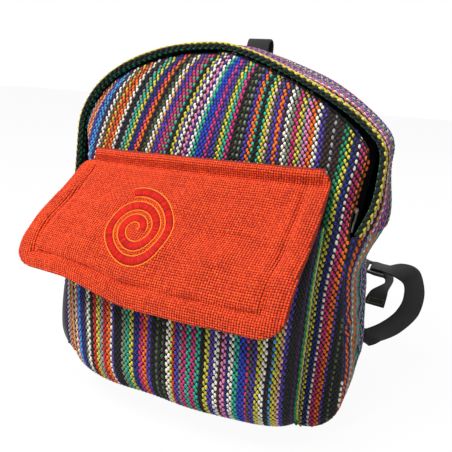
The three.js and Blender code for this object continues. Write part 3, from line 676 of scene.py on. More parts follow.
def weaveOn(name, place, plan, start, spanT, keep, seed, beadPitch=None):
    # warp-faced cloth on place(s, t), in mm: the yarns run along t, side by side along s
    draw = np.random.default_rng(seed)
    pitch = beadPitch or weave["beadPitch"]
    columns = np.arange(len(plan))
    rows = np.arange(int((spanT[1] - spanT[0]) / pitch) + 1)
    column, row = np.meshgrid(columns, rows, indexing="ij")
    column, row = column.ravel(), row.ravel()
    s = start + column * weave["yarnPitch"]
    t = spanT[0] + (row + 0.5 * (column % 2)) * pitch
    across, ahead = weave["acrossJitter"], weave["alongJitter"]
    s = s + draw.uniform(-across, across, s.shape) + (
        weave["wander"] * ripple(s, t, weave["wanderSize"], seed + 3))
    t = t + draw.uniform(-ahead, ahead, t.shape)
    kept = keep(s, t)
    s, t, column = s[kept], t[kept], column[kept]
    points = place(s, t)
    _, along, out = slopes(place, s, t)
    points = points + out * weave["lift"]
    colours = dyed([plan[c] for c in column], len(column), draw)
    size = (pitch * weave["beadShare"], weave["beadWidth"], weave["beadHeight"])
    print("woven", name, len(points), "beads")
    return addBeads(name, points, along, out, colours, size, stripedYarn, seed=seed)


def finishBag(piece, slot, *nodes):
    if nodes:
        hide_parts(*nodes)
    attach(piece, "bag")
    return piece


# Front panel: fills the outline inside the zip, and its stripes fan to the right towards the top

frontSettings = {
    "grid": 56, "lowRoll": 3, "edgeRoll": 8, "rollReach": 15, "rollBlend": 0.06, "thickShare": 0.8,
    "rightOut": 7.5, "crownOut": 5, "crownStart": 243, "crownReach": 16, "zipBlend": 0.04,
    "rippleHigh": 1.1, "rippleSize": 110, "rippleFade": 30,
    "fanStart": 190, "fanSpread": 220, "fanEdge": 110, "fanReach": 190,
    "drift": 12, "driftStart": 250, "driftFade": 85, "driftEdge": 60, "driftReach": 60,
    "behindPocket": (104, 24, 192), "behindFlap": (4, 112, 226),  # no yarn beads where nothing shows
    "firstYarn": -154, "spanT": (3, 342), "beadPitch": 5.6, "yarnRoom": 0.5,
}


def edgeInset(share):  # how far inside the outline the panel's edge lies
    plan = frontSettings
    t = np.where(share > 1, 2 - share, share)
    beside = smooth((t - zipShare + plan["zipBlend"] / 2) / plan["zipBlend"])
    low = bag["cloth"] + bag["seam"]
    inset = low + (bag["panelInset"] - low) * beside
    _, z = outline(share, 0)
    crown = plan["crownOut"] * smooth((z - plan["crownStart"]) / plan["crownReach"])
    return inset - np.where(share < 1, plan["rightOut"] * beside, crown)


def fillOutline(u, v, insetAt):  # maps a square onto the area inside the outline
    reach = np.maximum(np.abs(u), np.abs(v))
    safe = np.maximum(reach, 1e-6)
    a, b = u / safe, v / safe
    share = 0.25 + (b + 1) / 4
    share = np.where(b <= -1 + 1e-9, np.where(a >= 0, a / 4, 2 + a / 4), share)
    share = np.where(b >= 1 - 1e-9, 1 - a / 4, share)
    side = (np.abs(b) < 1 - 1e-9) & (a < 0)
    share = np.clip(np.where(side, 2 - share, share), 0, 2)
    x, z = outline(share, insetAt(share))
    return x * reach, bag["middleZ"] + (z - bag["middleZ"]) * reach


rimShares = np.linspace(0, 2, 721)
rimX, rimZ = outline(rimShares, 0)
rimAngles = np.unwrap(np.arctan2(rimX, -(rimZ - bag["middleZ"])))


def rimReach(x, z):  # how far inside the outline a point lies, and the share of the outline beyond it
    angle = np.arctan2(x, -(z - bag["middleZ"]))
    angle = np.where(angle < 0, angle + 2 * math.pi, angle)
    share = np.interp(angle, rimAngles, rimShares)
    edgeX, edgeZ = outline(share, 0)
    far = np.hypot(edgeX, edgeZ - bag["middleZ"])
    return far - np.hypot(x, z - bag["middleZ"]), share


def frontPlace(x, z):  # the frame's soft shape with ripples, rolled back at its edge
    inside, share = rimReach(x, z)
    plan = frontSettings
    t = np.where(share > 1, 2 - share, share)
    beside = smooth((t - zipShare + plan["rollBlend"] / 2) / plan["rollBlend"])
    high = plan["lowRoll"] + (plan["edgeRoll"] - plan["lowRoll"]) * beside
    roll = high * smooth(1 - (inside - edgeInset(share)) / plan["rollReach"])
    waves = plan["rippleHigh"] * ripple(x, z, plan["rippleSize"], 5)
    waves = waves * smooth(inside / plan["rippleFade"])
    return np.stack([x, frontY(x, z) + roll + waves, z], -1)


def frontStripe(s, t):  # where yarn s lies at height t: it fans out above, and drifts below on the right
    plan = frontSettings
    above, below = np.maximum(0, t - plan["fanStart"]), np.maximum(0, plan["driftStart"] - t)
    fan = 0.5 * smooth((plan["fanEdge"] - s) / plan["fanReach"]) * above ** 2 / plan["fanSpread"]
    side = smooth((s - plan["driftEdge"]) / plan["driftReach"])
    drift = plan["drift"] * (1 - np.exp(-below / plan["driftFade"])) * side
    return frontPlace(s + fan - drift, t)


def makeFront():
    plan = frontSettings
    steps = np.linspace(-1, 1, plan["grid"] + 1)
    u, v = np.meshgrid(steps, steps)
    x, z = fillOutline(u, v, edgeInset)
    outer = frontPlace(x, z)
    inner = outer + np.array([0, bag["cloth"] * plan["thickShare"], 0])
    cloth = shell("front_panel_cloth", outer, inner, gapShadeGround, np.stack([x, z], -1))
    finishBag(cloth, "striped_cloth", "front_panel")

    def keep(s, t):
        x, _, z = frontStripe(s, t).T
        inside, share = rimReach(x, z)
        half, low, top = plan["behindPocket"]
        shift, wide, flapTop = plan["behindFlap"]
        hidden = (np.abs(x) < half) & (z > low) & (z < top)
        covered = (np.abs(x + shift) < wide) & (z >= top) & (z < flapTop)
        return (inside > edgeInset(share) + plan["yarnRoom"]) & ~hidden & ~covered

    beads = weaveOn("front_panel_weave", frontStripe, frontPlan, plan["firstYarn"], plan["spanT"], keep, 11,
                    plan["beadPitch"])
    finishBag(beads, "striped_cloth")


makeFront()
print("front panel made")


# Strips round the bag: t runs along the outline in mm, from the middle of the base, up its right side

zipLength = zipShare * halfLength


def shareOf(length):  # a length below zero runs from the middle of the base up the left side
    return np.where(length < 0, 2 + length / halfLength, length / halfLength)


def rimWidth(length):  # from the front's face to the back
    x, z = outline(shareOf(length), 0)
    return backY - frontY(x, z)


def rimPlace(length, depth, inset):  # depth is counted back from the front's face
    share = shareOf(length)
    edgeX, edgeZ = outline(share, 0)
    width = backY - frontY(edgeX, edgeZ)
    part = np.clip(depth / width, 0, 1)
    high = smooth((edgeZ - bag["cornerRadius"] * bag["bellyStart"]) / (2 * bag["cornerRadius"]))
    full = bag["sideBelly"] * high * smooth((bag["height"] - edgeZ) / bag["bellyEnd"])
    bulge = bag["bulgeOut"] * hill(edgeZ, bag["bulgeOutHeight"], bag["bulgeOutReach"])
    full = full + np.where(edgeX > 0, bulge, 0)
    x, z = outline(share, inset - full * np.sin(math.pi * part))
    return np.stack([x, backY - width + depth, z], -1)


def stripGrid(place, spanS, spanT, rows, columns, thick):
    # spanS gives the first and last s at a place t along the strip
    t = np.linspace(spanT[0], spanT[1], rows)[:, None] * np.ones((1, columns))
    low, high = spanS(t)
    s = low + (high - low) * np.linspace(0, 1, columns)[None, :]
    outer = place(s, t)
    _, _, out = slopes(place, s, t)
    return outer, outer - out * thick, np.stack([s, t], -1)


sideSettings = {
    "start": 3.0,  # its front edge lies this far behind the panel's face
    "rest": 1.4,  # room for the yarns above the floor
    "seamPull": 2.4, "seamReach": 8, "rippleHigh": 0.9, "rippleSize": 75,
    "foldHigh": 1.7, "foldPitch": 27, "foldMiddle": 92, "foldReach": 62, "foldSlant": 0.55,
    "foldWander": 7, "wanderSize": 55,
    "edgeFold": 1.9, "edgePitch": 16, "edgeSlant": 0.35,  # short puckers beside the right front seam
    "edgeHeight": (108, 34), "edgeDepth": (10, 11),  # their middle and reach
    "floorReach": 14, "thick": 1.5, "rows": 150, "columns": 26, "flatWidth": 0.128,
}


def sidePlace(s, t):
    plan = sideSettings
    width = rimWidth(t) - plan["start"]
    _, z = outline(shareOf(t), 0)
    nearFront, nearBack = smooth(1 - s / plan["seamReach"]), smooth(1 - (width - s) / plan["seamReach"])
    pull = plan["seamPull"] * (nearFront + nearBack)
    waves = plan["rippleHigh"] * ripple(s, t, plan["rippleSize"], 21)
    slant = z + plan["foldSlant"] * s + plan["foldWander"] * ripple(s, t, plan["wanderSize"], 22)
    folds = plan["foldHigh"] * np.sin(2 * math.pi * slant / plan["foldPitch"])
    folds = folds * hill(z, plan["foldMiddle"], plan["foldReach"]) * hill(s, width / 2, width / 2)
    puckers = np.sin(2 * math.pi * (z + plan["edgeSlant"] * s) / plan["edgePitch"])
    puckers = plan["edgeFold"] * puckers * hill(z, *plan["edgeHeight"]) * hill(s, *plan["edgeDepth"])
    folds = folds + np.where(t > 0, puckers, 0)
    lifted = smooth(z / plan["floorReach"])
    return rimPlace(t, s + plan["start"], plan["rest"] + pull - (waves + folds) * lifted)


def makeSideGusset():
    plan = sideSettings
    spanT = (-zipLength, zipLength)

    def spanS(t):
        return 0 * t, rimWidth(t) - plan["start"] - 0.6

    outer, inner, uv = stripGrid(sidePlace, spanS, spanT, plan["rows"], plan["columns"], plan["thick"])
    cloth = shell("side_gusset_cloth", outer, inner, gapShadeGround, uv)
    finishBag(cloth, "striped_cloth", "side_gusset")

    def keep(s, t):
        return (s > 0.8) & (s < rimWidth(t) - plan["start"] - 1.6)

    beads = weaveOn("side_gusset_weave", sidePlace, gussetPlan, 1.6, (spanT[0] + 3, spanT[1] - 3), keep, 31)
    finishBag(beads, "striped_cloth")


makeSideGusset()
print("side gusset made")


# Cover over the zip: folded under at its front edge, and standing off the bag on the right

coverSettings = {
    "hem": 12, "fold": 2.0, "start": 1.2, "thick": 1.5, "gapeShare": 0.6,
    "seamPull": 2.0, "seamReach": 8, "rippleHigh": 1.0, "rippleSize": 80, "rippleFade": 20,
    "endGap": 2.4, "rows": 130, "hemColumns": 8, "foldColumns": 10, "coverColumns": 24, "flatWidth": 0.118,
}
foldArc = coverSettings["fold"] * math.pi / 2


def coverPlace(s, t, lift=0.0):  # s is 0 on the front edge's fold, less on the hem and more on the cover
    plan = coverSettings
    width = rimWidth(t)
    x, z = outline(shareOf(t), 0)
    radius = plan["fold"]
    turn = np.clip(s / radius, -math.pi / 2, math.pi / 2)
    run = np.maximum(0, s - foldArc) + np.maximum(0, -s - foldArc)
    depth = plan["start"] + radius - (radius + lift) * np.cos(turn) + run
    inset = radius - (radius + lift) * np.sin(turn)
    reach = np.where(z > bag["gapeHeight"], bag["gapeRise"], bag["gapeFall"])
    gape = np.where(x > 0, bag["gapeOut"] * hill(z, bag["gapeHeight"], reach), 0)
    inset = inset - gape * (1 - smooth(depth / width / plan["gapeShare"]))
    inset = inset + plan["seamPull"] * smooth(1 - (width - depth) / plan["seamReach"])
    waves = plan["rippleHigh"] * ripple(depth, t, plan["rippleSize"], 41)
    inset = inset - waves * smooth(depth / plan["rippleFade"])
    return rimPlace(t, depth, inset)


def coverSpan(t):
    plan = coverSettings
    return 0 * t - foldArc - plan["hem"], rimWidth(t) - plan["start"] - 2 + foldArc - 0.6


def makeCover():
    plan = coverSettings
    spanT = (zipLength + plan["endGap"], 2 * halfLength - zipLength - plan["endGap"])
    along = np.linspace(spanT[0], spanT[1], plan["rows"])
    low, high = coverSpan(along)
    hem = np.linspace(low, -foldArc, plan["hemColumns"])
    fold = np.linspace(-foldArc, foldArc, plan["foldColumns"])[1:-1, None] * np.ones((1, len(along)))
    over = np.linspace(foldArc + 0 * high, high, plan["coverColumns"])
    s = np.concatenate([hem, fold, over]).T
    t = along[:, None] * np.ones((1, s.shape[1]))
    outer, inner = coverPlace(s, t), coverPlace(s, t, -plan["thick"])
    cloth = shell("top_gusset_cloth", outer, inner, gapShadeGround, np.stack([s, t], -1))
    finishBag(cloth, "striped_cloth", "top_gusset")

    def keep(s, t):
        low, high = coverSpan(t)
        return (s > low + 0.8) & (s < high - 1.0)

    beads = weaveOn("top_gusset_weave", coverPlace, coverPlan, -foldArc - plan["hem"] + 1,
                    (spanT[0] + 1.5, spanT[1] - 1.5), keep, 43)
    finishBag(beads, "striped_cloth")


makeCover()
print("cover made")


# Back panel: nearly flat, stripes upright

backSettings = {
    "grid": 44, "inset": 2.5, "rest": 1.3, "thick": 1.5,
    "sag": 3.0, "sagHalf": 150, "sagMiddle": 150, "sagReach": 130,
    "rippleHigh": 0.7, "rippleSize": 100, "flatTop": 274, "flatReach": 40, "roll": 2.2, "rollReach": 7,
    "firstYarn": -151, "spanT": (3, 344), "beadPitch": 7.6, "yarnRoom": 1.2,
}


def backPlace(s, t):
    plan = backSettings
    level = smooth(1 - np.abs(s / plan["sagHalf"]) ** 2) * hill(t, plan["sagMiddle"], plan["sagReach"])
    waves = plan["rippleHigh"] * (1 + ripple(s, t, plan["rippleSize"], 51))
    waves = waves * smooth((plan["flatTop"] - t) / plan["flatReach"])
    inside, _ = rimReach(-s, t)
    roll = plan["roll"] * smooth(1 - (inside - plan["inset"]) / plan["rollReach"])
    return np.stack([-s, backY - plan["rest"] - plan["sag"] * level - waves - roll, t], -1)


def makeBack():
    plan = backSettings
    steps = np.linspace(-1, 1, plan["grid"] + 1)
    u, v = np.meshgrid(steps, steps)
    x, z = fillOutline(u, v, lambda share: np.full(np.shape(share), plan["inset"]))
    outer = backPlace(-x, z)
    inner = outer - np.array([0, plan["thick"], 0])
    cloth = shell("back_panel_cloth", outer, inner, gapShadeGround, np.stack([x, z], -1))
    finishBag(cloth, "striped_cloth", "back_panel")

    def keep(s, t):
        inside, _ = rimReach(-s, t)
        return inside > plan["inset"] + plan["yarnRoom"]

    beads = weaveOn("back_panel_weave", backPlace, frontPlan[::-1], plan["firstYarn"], plan["spanT"], keep,
                    53, plan["beadPitch"])
    finishBag(beads, "striped_cloth")


makeBack()
print("back panel made")


# Front pocket: a full pouch, sewn round its sides and bottom, open under the flap

pocketSettings = {
    "half": 118, "bottom": 12, "top": 200, "depth": 56, "square": 3.4, "mouth": 0.32, "foot": 0.28,
    "round": 2.4, "footIn": 3, "mouthStart": 0.6, "thick": 1.5,
    "rippleHigh": 1.3, "rippleSize": 85, "rippleFade": 20,
    "stripesAt": 0.42, "samples": 801, "beadPitch": 6.3,
}


def pocketPoint(u, v):  # u runs round its section from -1 to 1, v up it from 0 to 1
    plan = pocketSettings
    power = 2 / plan["square"]
    angle = math.pi / 2 * (1 - u)
    cosine, sine = np.cos(angle), np.maximum(0, np.sin(angle))
    x = (plan["half"] - plan["footIn"] * (1 - v)) * np.sign(cosine) * np.abs(cosine) ** power
    z = plan["bottom"] + (plan["top"] - plan["bottom"]) * v
    low = np.clip(1 - v / plan["foot"], 0, 1)
    fill = (1 - low ** plan["round"]) ** (1 / plan["round"])
    fill = fill * (1 - (1 - plan["mouth"]) * smooth((v - plan["mouthStart"]) / (1 - plan["mouthStart"])))
    out = plan["depth"] * fill * sine ** power
    waves = plan["rippleHigh"] * ripple(x, z, plan["rippleSize"], 61) * smooth(out / plan["rippleFade"])
    return np.stack([x, frontY(x, z) - bag["seam"] - out - waves, z], -1)


pocketU = np.linspace(-1, 1, pocketSettings["samples"])
pocketS = runLength(pocketPoint(pocketU, pocketSettings["stripesAt"] + 0 * pocketU))
pocketS = pocketS - pocketS[len(pocketS) // 2]
pocketV = np.linspace(0, 1, pocketSettings["samples"])
pocketT = runLength(pocketPoint(0 * pocketV, pocketV))


def pocketPlace(s, t):
    return pocketPoint(np.interp(s, pocketS, pocketU), np.interp(t, pocketT, pocketV))


def makePocket():
    u, v = np.meshgrid(np.sin(np.linspace(-1, 1, 71) * math.pi / 2), np.linspace(0, 1, 45) ** 1.5)
    outer = pocketPoint(u, v)
    s, t = np.interp(u, pocketU, pocketS), np.interp(v, pocketV, pocketT)
    safeS, safeT = np.clip(s, pocketS[0] + 1, pocketS[-1] - 1), np.clip(t, 1, pocketT[-1] - 1)
    _, _, out = slopes(pocketPlace, safeS, safeT)
    inner = outer - out * pocketSettings["thick"]
    cloth = shell("front_pocket_cloth", outer, inner, gapShadeGround, np.stack([s, t], -1))
    finishBag(cloth, "striped_cloth", "front_pocket")

    def keep(s, t):
        return (np.abs(s) < pocketS[-1] - 1.2) & (t > 2) & (t < pocketT[-1] - 1.5)

    first = -weave["yarnPitch"] * len(pocketPlan) / 2
    print("pocket section", round(pocketS[-1] * 2), "mm, plan", round(-2 * first), "mm")
    beads = weaveOn("front_pocket_weave", pocketPlace, pocketPlan, first, (0, pocketT[-1]), keep, 63,
                    pocketSettings["beadPitch"])
    finishBag(beads, "striped_cloth")


makePocket()
print("pocket made")


# Flap: orange plain weave, sewn to the front with a padded ridge, top stitched inside its edge

flapSettings = {
    "halfTop": 123, "halfBottom": 129, "seamZ": 237, "corners": (16, 24), "sideDrop": 6, "shift": 16,
    "lift": 14, "liftSlope": 1.6,  # of the lower left corner
    "seamLift": 4, "seamTilt": 0.03, "seamShare": 0.4, "hangShare": 0.5, "hangPower": 2.4,
    "route": [[3, 0], [6, -9], [13, -18], [28, -33], [44, -49], [62, -68], [74, -88], [80, -115]],
    "shoulderCut": (11, 5), "shoulderEnd": (20, 12), "shoulderRound": 8, "rightTrim": 4,
    "ridgeHigh": 4.4, "ridgeAt": 5.4, "ridgeSpread": 5.0, "ridgeEnd": 0.35, "ridgeFade": 4,
    "creaseDeep": 2.0, "creaseAt": 13.6, "creaseSpread": 3.0,
    "stitchInset": 19, "stitchTrims": (1, 4), "leastBend": 3.0, "stitchTop": 16, "stitchPitch": 3.6,
    "stitch": (3.0, 0.9, 0.8),
    "grooveDeep": 2.3, "grooveSpread": 3.0, "grooveWaver": 0.3,
    "grooveTop": 14, "hemTop": 16, "topFade": 10,  # where groove and hem begin below the ridge
    "hemHigh": 1.3, "hemAt": 10, "hemSpread": 6, "edgeDrop": 1.4, "edgeReach": 3.0,
    "face": 2.0, "thick": 1.5, "underside": 0.5,  # the underside lies no further out than this
    "grid": (121, 100), "rippleHigh": 0.9, "rippleSize": 48, "rippleTop": 12, "rippleFade": 20,
    "dents": [  # soft folds: height, then middle and spread along s and t, and slant
        {"high": -4.2, "middle": (48, 60), "spread": (52, 13), "slant": 0.14},
        {"high": 2.0, "middle": (30, 88), "spread": (60, 12), "slant": 0.1},
        {"high": -1.4, "middle": (-75, 44), "spread": (26, 12), "slant": 0},
    ],
    "threadPitch": 2.15, "jitter": 0.12, "sideRoom": 0.9, "endRoom": 0.8,
    "beadShares": (1.22, 0.9), "beadHigh": 1.25, "beadLift": 0.12,
    "slub": 0.16, "streak": 0.1, "shadeSpread": 0.13, "warpShade": 0.02, "weftShade": -0.08,
    "shadePowers": (1.0, 2.2, 2.6),  # red changes least between a light thread and a dark one
    "colour": "ee4a14", "stitchColour": "e24a18", "flatWidth": 0.254, "meanWidth": 0.245,
}


def spline(route, perSpan=24):  # centripetal curve through the route's points
    way = np.array(route, float)
    way = np.vstack([2 * way[0] - way[1], way, 2 * way[-1] - way[-2]])
    found = []
    for i in range(1, len(way) - 2):
        a, b, c, d = way[i - 1:i + 3]
        before, here, after = (max(1e-4, np.linalg.norm(q - p) ** 0.5) for p, q in ((a, b), (b, c), (c, d)))
        leave = ((b - a) / before - (c - a) / (before + here) + (c - b) / here) * here
        arrive = ((c - b) / here - (d - b) / (here + after) + (d - c) / after) * here
        t = np.linspace(0, 1, perSpan + 1)[:-1 if i < len(way) - 3 else None, None]
        cube = 2 * b - 2 * c + leave + arrive
        square = -3 * b + 3 * c - 2 * leave - arrive
        found.append(b + leave * t + square * t ** 2 + cube * t ** 3)
    return np.vstack(found)


flapRoute = spline(flapSettings["route"])
flapRun = runLength(flapRoute)
flapLength = flapRun[-1]
flapBase = frontY(0.0, flapSettings["seamZ"])


def cornerOf(s):
    left, right = flapSettings["corners"]
    return np.where(s < 0, left, right)


def trimAt(s, v):  # the right side is cut a little narrower towards the seam
    return np.where(s < 0, 0, flapSettings["rightTrim"] * (1 - v))


def flapHalf(s, t):  # half the flap's width, with its corners cut round
    plan = flapSettings
    v = t / flapLength
    corner = cornerOf(s)
    low = np.clip(corner - (flapLength - t), 0, corner)
    cut = corner - np.sqrt(corner ** 2 - low ** 2)
    deep, end = (np.where(s < 0, *plan[key]) for key in ("shoulderCut", "shoulderEnd"))
    bend = np.clip((end - t) / plan["shoulderRound"], 0, 1)
    cut = cut + deep * (1 - np.sqrt(1 - bend ** 2)) + trimAt(s, v)
    return plan["halfTop"] + (plan["halfBottom"] - plan["halfTop"]) * v - cut


def edgeGap(s, t):  # how far inside the flap's sides and lower edge a point lies
    plan = flapSettings
    v = t / flapLength
    corner = cornerOf(s)
    half = plan["halfTop"] + (plan["halfBottom"] - plan["halfTop"]) * v - trimAt(s, v)
    a = np.abs(s) - (half - corner)
    b = t - (flapLength - corner)
    return corner - (np.hypot(np.maximum(a, 0), np.maximum(b, 0)) + np.minimum(np.maximum(a, b), 0))


def flapRelief(s, t):  # ridge, crease, sewn groove, folds and the cloth drawn in round the spiral
    plan, coil = flapSettings, spiralSettings
    sides = smooth((flapHalf(s, 0 * t) - np.abs(s)) / plan["ridgeFade"])
    ends = plan["ridgeEnd"] + (1 - plan["ridgeEnd"]) * sides
    high = plan["ridgeHigh"] * bell(t, plan["ridgeAt"], plan["ridgeSpread"]) * ends
    high = high - plan["creaseDeep"] * bell(t, plan["creaseAt"], plan["creaseSpread"])
    gap = edgeGap(s, t)
    waver = 1 + plan["grooveWaver"] * np.sin(s * 0.13 + t * 0.17)
    groove = plan["grooveDeep"] * waver * smooth((t - plan["grooveTop"]) / plan["topFade"])
    high = high - groove * bell(gap, plan["stitchInset"], plan["grooveSpread"])
    hem = plan["hemHigh"] * bell(gap, plan["hemAt"], plan["hemSpread"])
    high = high + hem * smooth((t - plan["hemTop"]) / plan["topFade"])
    high = high - plan["edgeDrop"] * smooth(1 - gap / plan["edgeReach"]) ** 2
    waves = plan["rippleHigh"] * ripple(s, t, plan["rippleSize"], 71)
    high = high + waves * smooth((t - plan["rippleTop"]) / plan["rippleFade"])
    for dent in plan["dents"]:
        (across, down), (wide, tall) = dent["middle"], dent["spread"]
        slanted = t - down - dent["slant"] * s
        high = high + dent["high"] * np.exp(-((s - across) / wide) ** 2 - (slanted / tall) ** 2)
    around = np.hypot(s - coil["across"], t - coil["down"] * flapLength)
    high = high - coil["sink"] * smooth(1 - np.abs(around - coil["sinkAt"]) / coil["sinkAt"])
    return high + coil["swell"] * bell(around, coil["swellAt"], coil["swellSpread"])


def flapPlace(s, t, height=None):  # t runs from the seam down the hanging curve
    plan = flapSettings
    v = t / flapLength
    out, rise = (np.interp(t, flapRun, flapRoute[:, i]) for i in (0, 1))
    ahead, behind = np.clip(t + 3, 0, flapLength), np.clip(t - 3, 0, flapLength)
    stepOut, stepRise = (
        np.interp(ahead, flapRun, way) - np.interp(behind, flapRun, way) for way in flapRoute.T)
    size = np.hypot(stepOut, stepRise)
    side = s / plan["halfBottom"]
    hang = plan["sideDrop"] * smooth(v / plan["hangShare"]) * np.abs(side) ** plan["hangPower"]
    atTop = frontY(s, plan["seamZ"]) - flapBase
    high = plan["face"] + flapRelief(s, t) if height is None else height
    nearSeam = 1 - smooth(v / plan["seamShare"])
    y = flapBase + atTop * nearSeam - out + hang + stepRise / size * high
    tilt = (plan["seamLift"] + plan["seamTilt"] * s) * nearSeam
    lifted = plan["lift"] * v * v * smooth(-side * plan["liftSlope"])
    z = plan["seamZ"] + rise + lifted + tilt + stepOut / size * high
    return np.stack([s - plan["shift"] * smooth(v), y, z], -1)


spiralSettings = {
    "turns": 2.32, "start": 0.07, "outer": 33, "inner": 6, "tall": 1.09, "across": -23, "lean": 0.2,
    "down": 0.53, "band": 7.8, "padShare": 0.42, "steps": 400,
    "sink": 0.8, "sinkAt": 20, "swell": 0.5, "swellAt": 42, "swellSpread": 7,
    "threadPitch": 0.8, "thread": (6.8, 0.92, 1.3), "threadLift": 0.45, "threadSpread": 0.3,
    "edgePitch": 2.2, "edgeThread": (2.9, 1.15, 1.2), "edgeLift": 0.1, "baseThick": 0.7, "lift": 0.5,
    "red": "cc1c12", "edge": "ff8a1e",
}


def upFlap(s, up):  # the same surface with t counted from the lower edge, so that its way out points forwards
    return flapPlace(s, flapLength - up)


def stitchLine(name, place, line, pitch, size, colour, lift, material, seed, spread=0.1, across=False):
    # line holds (s, t) points; a stitch lies at every pitch along it
    path = place(line[:, 0], line[:, 1])
    run = runLength(path)
    stops = np.arange(pitch / 2, run[-1], pitch)
    s, t = np.interp(stops, run, line[:, 0]), np.interp(stops, run, line[:, 1])
    points = place(s, t)
    _, _, out = slopes(place, s, t)
    ahead, behind = stops + 0.3, stops - 0.3
    along = unit(np.stack(
        [np.interp(ahead, run, path[:, i]) - np.interp(behind, run, path[:, i]) for i in range(3)], -1))
    if across:
        along = unit(np.cross(out, along))
    draw = np.random.default_rng(seed)
    shade = 1 + spread * draw.uniform(-1, 1, (len(s), 1))
    colours = np.clip(np.array(colour)[None, :] * np.hstack([shade, shade, shade, np.ones_like(shade)]), 0, 1)
    return addBeads(name, points + out * lift, along, out, colours.astype(np.float32), size, material,
                    detail=2 if len(s) < 900 else 1, twist=0.0, uneven=0.06, seed=seed)


def flapLine(inset, low):  # down the left side, along the lower edge and up the right side
    plan = flapSettings
    halves = []
    for side, trim in zip((-1, 1), plan["stitchTrims"]):
        corner = float(cornerOf(side))
        bend = max(corner - inset, plan["leastBend"])
        edge = plan["halfBottom"] - inset - trim
        down = [(side * edge, t) for t in np.linspace(low, flapLength - inset - bend, 40)]
        turn = np.linspace(0, math.pi / 2, 8)[1:]
        down += [(side * (edge - bend * (1 - math.cos(a))), flapLength - inset - bend * (1 - math.sin(a)))
                 for a in turn]
        halves.append(down)
    left, right = halves
    bottom = [(s, flapLength - inset) for s in np.linspace(left[-1][0], right[-1][0], 90)[1:-1]]
    line = np.array(left + bottom + right[::-1])
    return np.stack([line[:, 0], flapLength - line[:, 1]], -1)


def makeFlap():
    plan = flapSettings
    columns, rows = plan["grid"]
    u, t = np.meshgrid(np.sin(np.linspace(-1, 1, columns) * math.pi / 2), np.linspace(0, flapLength, rows))
    s = u * flapHalf(u, t)
    outer = flapPlace(s, t)
    inner = flapPlace(s, t, np.minimum(plan["underside"], plan["face"] + flapRelief(s, t) - plan["thick"]))
    cloth = shell("pocket_flap_cloth", outer, inner, shadedOrangeGround, np.stack([s, t], -1))
    finishBag(cloth, "orange_cloth", "pocket_flap")

    beads = weaveFlap()
    finishBag(beads, "orange_cloth")
    stitch = stitchLine("pocket_flap_topstitch", upFlap, flapLine(plan["stitchInset"], plan["stitchTop"]),
                        plan["stitchPitch"], plan["stitch"], linear(plan["stitchColour"]), 0.3, orangeYarn,
                        seed=79)
    finishBag(stitch, "orange_cloth")


def weaveFlap():  # plain weave: warp and weft threads show in turn, one bead for each crossing
    plan = flapSettings
    pitch, jitter = plan["threadPitch"], plan["jitter"]
    reach = int(plan["halfBottom"] / pitch) + 1
    line = np.linspace(0, flapLength, 600)
    run = runLength(flapPlace(0 * line, line))
    columns, rows = np.meshgrid(np.arange(-reach, reach + 1), np.arange(int(run[-1] / pitch)), indexing="ij")
    columns, rows = columns.ravel(), rows.ravel()
    draw = np.random.default_rng(73)
    s = columns * pitch + draw.uniform(-jitter, jitter, columns.shape) + 0.5 * ripple(columns, rows, 20, 74)
    shift = draw.uniform(-jitter, jitter, rows.shape) + 0.5 * ripple(columns, rows, 24, 75)
    up = flapLength - np.interp(run[-1] - (rows + 0.5) * pitch - shift, run, line)
    onWidth = np.abs(s) < flapHalf(s, flapLength - up) - plan["sideRoom"]
    kept = onWidth & (up < flapLength - plan["endRoom"]) & (up > plan["endRoom"])
    uneven = 0.5 + 0.5 * ripple(columns, 9 * rows, 30, 76)
    slub = plan["slub"] * draw.uniform(-1, 1, rows.max() + 1)[rows] * uneven
    streak = plan["streak"] * draw.uniform(-1, 1, 2 * reach + 1)[columns + reach]
    s, up, warp = s[kept], up[kept], ((columns + rows) % 2 == 0)[kept]
    tint = np.where(warp, streak[kept], slub[kept])[:, None]
    points = upFlap(s, up)
    alongS, alongT, out = slopes(upFlap, s, up)
    along = np.where(warp[:, None], alongT, alongS)
    colours = np.tile(np.array(linear(plan["colour"])), (len(s), 1))
    lean = np.where(warp, plan["warpShade"], plan["weftShade"])[:, None]
    shade = 1 + plan["shadeSpread"] * draw.uniform(-1, 1, (len(s), 1)) + lean + tint
    colours[:, :3] = np.clip(colours[:, :3] * shade ** np.array(plan["shadePowers"]), 0, 1)
    longShare, wideShare = plan["beadShares"]
    size = (pitch * longShare, pitch * wideShare, plan["beadHigh"])
    print("woven flap", len(s), "beads")
    return addBeads("pocket_flap_weave", points + out * plan["beadLift"], along, out,
                    colours.astype(np.float32), size, orangeYarn, seed=77, twist=0.08, uneven=0.08)


makeFlap()
print("flap made")


# Spiral of satin stitch on the flap, edged with a brighter thread

def spiralLine(offset):  # from the outer end inwards, as (s, up) points
    plan = spiralSettings
    t = np.linspace(0, 1, plan["steps"])
    turn = 2 * math.pi * (plan["start"] - plan["turns"] * t)
    radius = plan["outer"] + (plan["inner"] - plan["outer"]) * t + offset
    rise = plan["tall"] * radius * np.cos(turn)
    s = plan["across"] - radius * np.sin(turn) - plan["lean"] * rise
    return np.stack([s, (1 - plan["down"]) * flapLength + rise], -1)


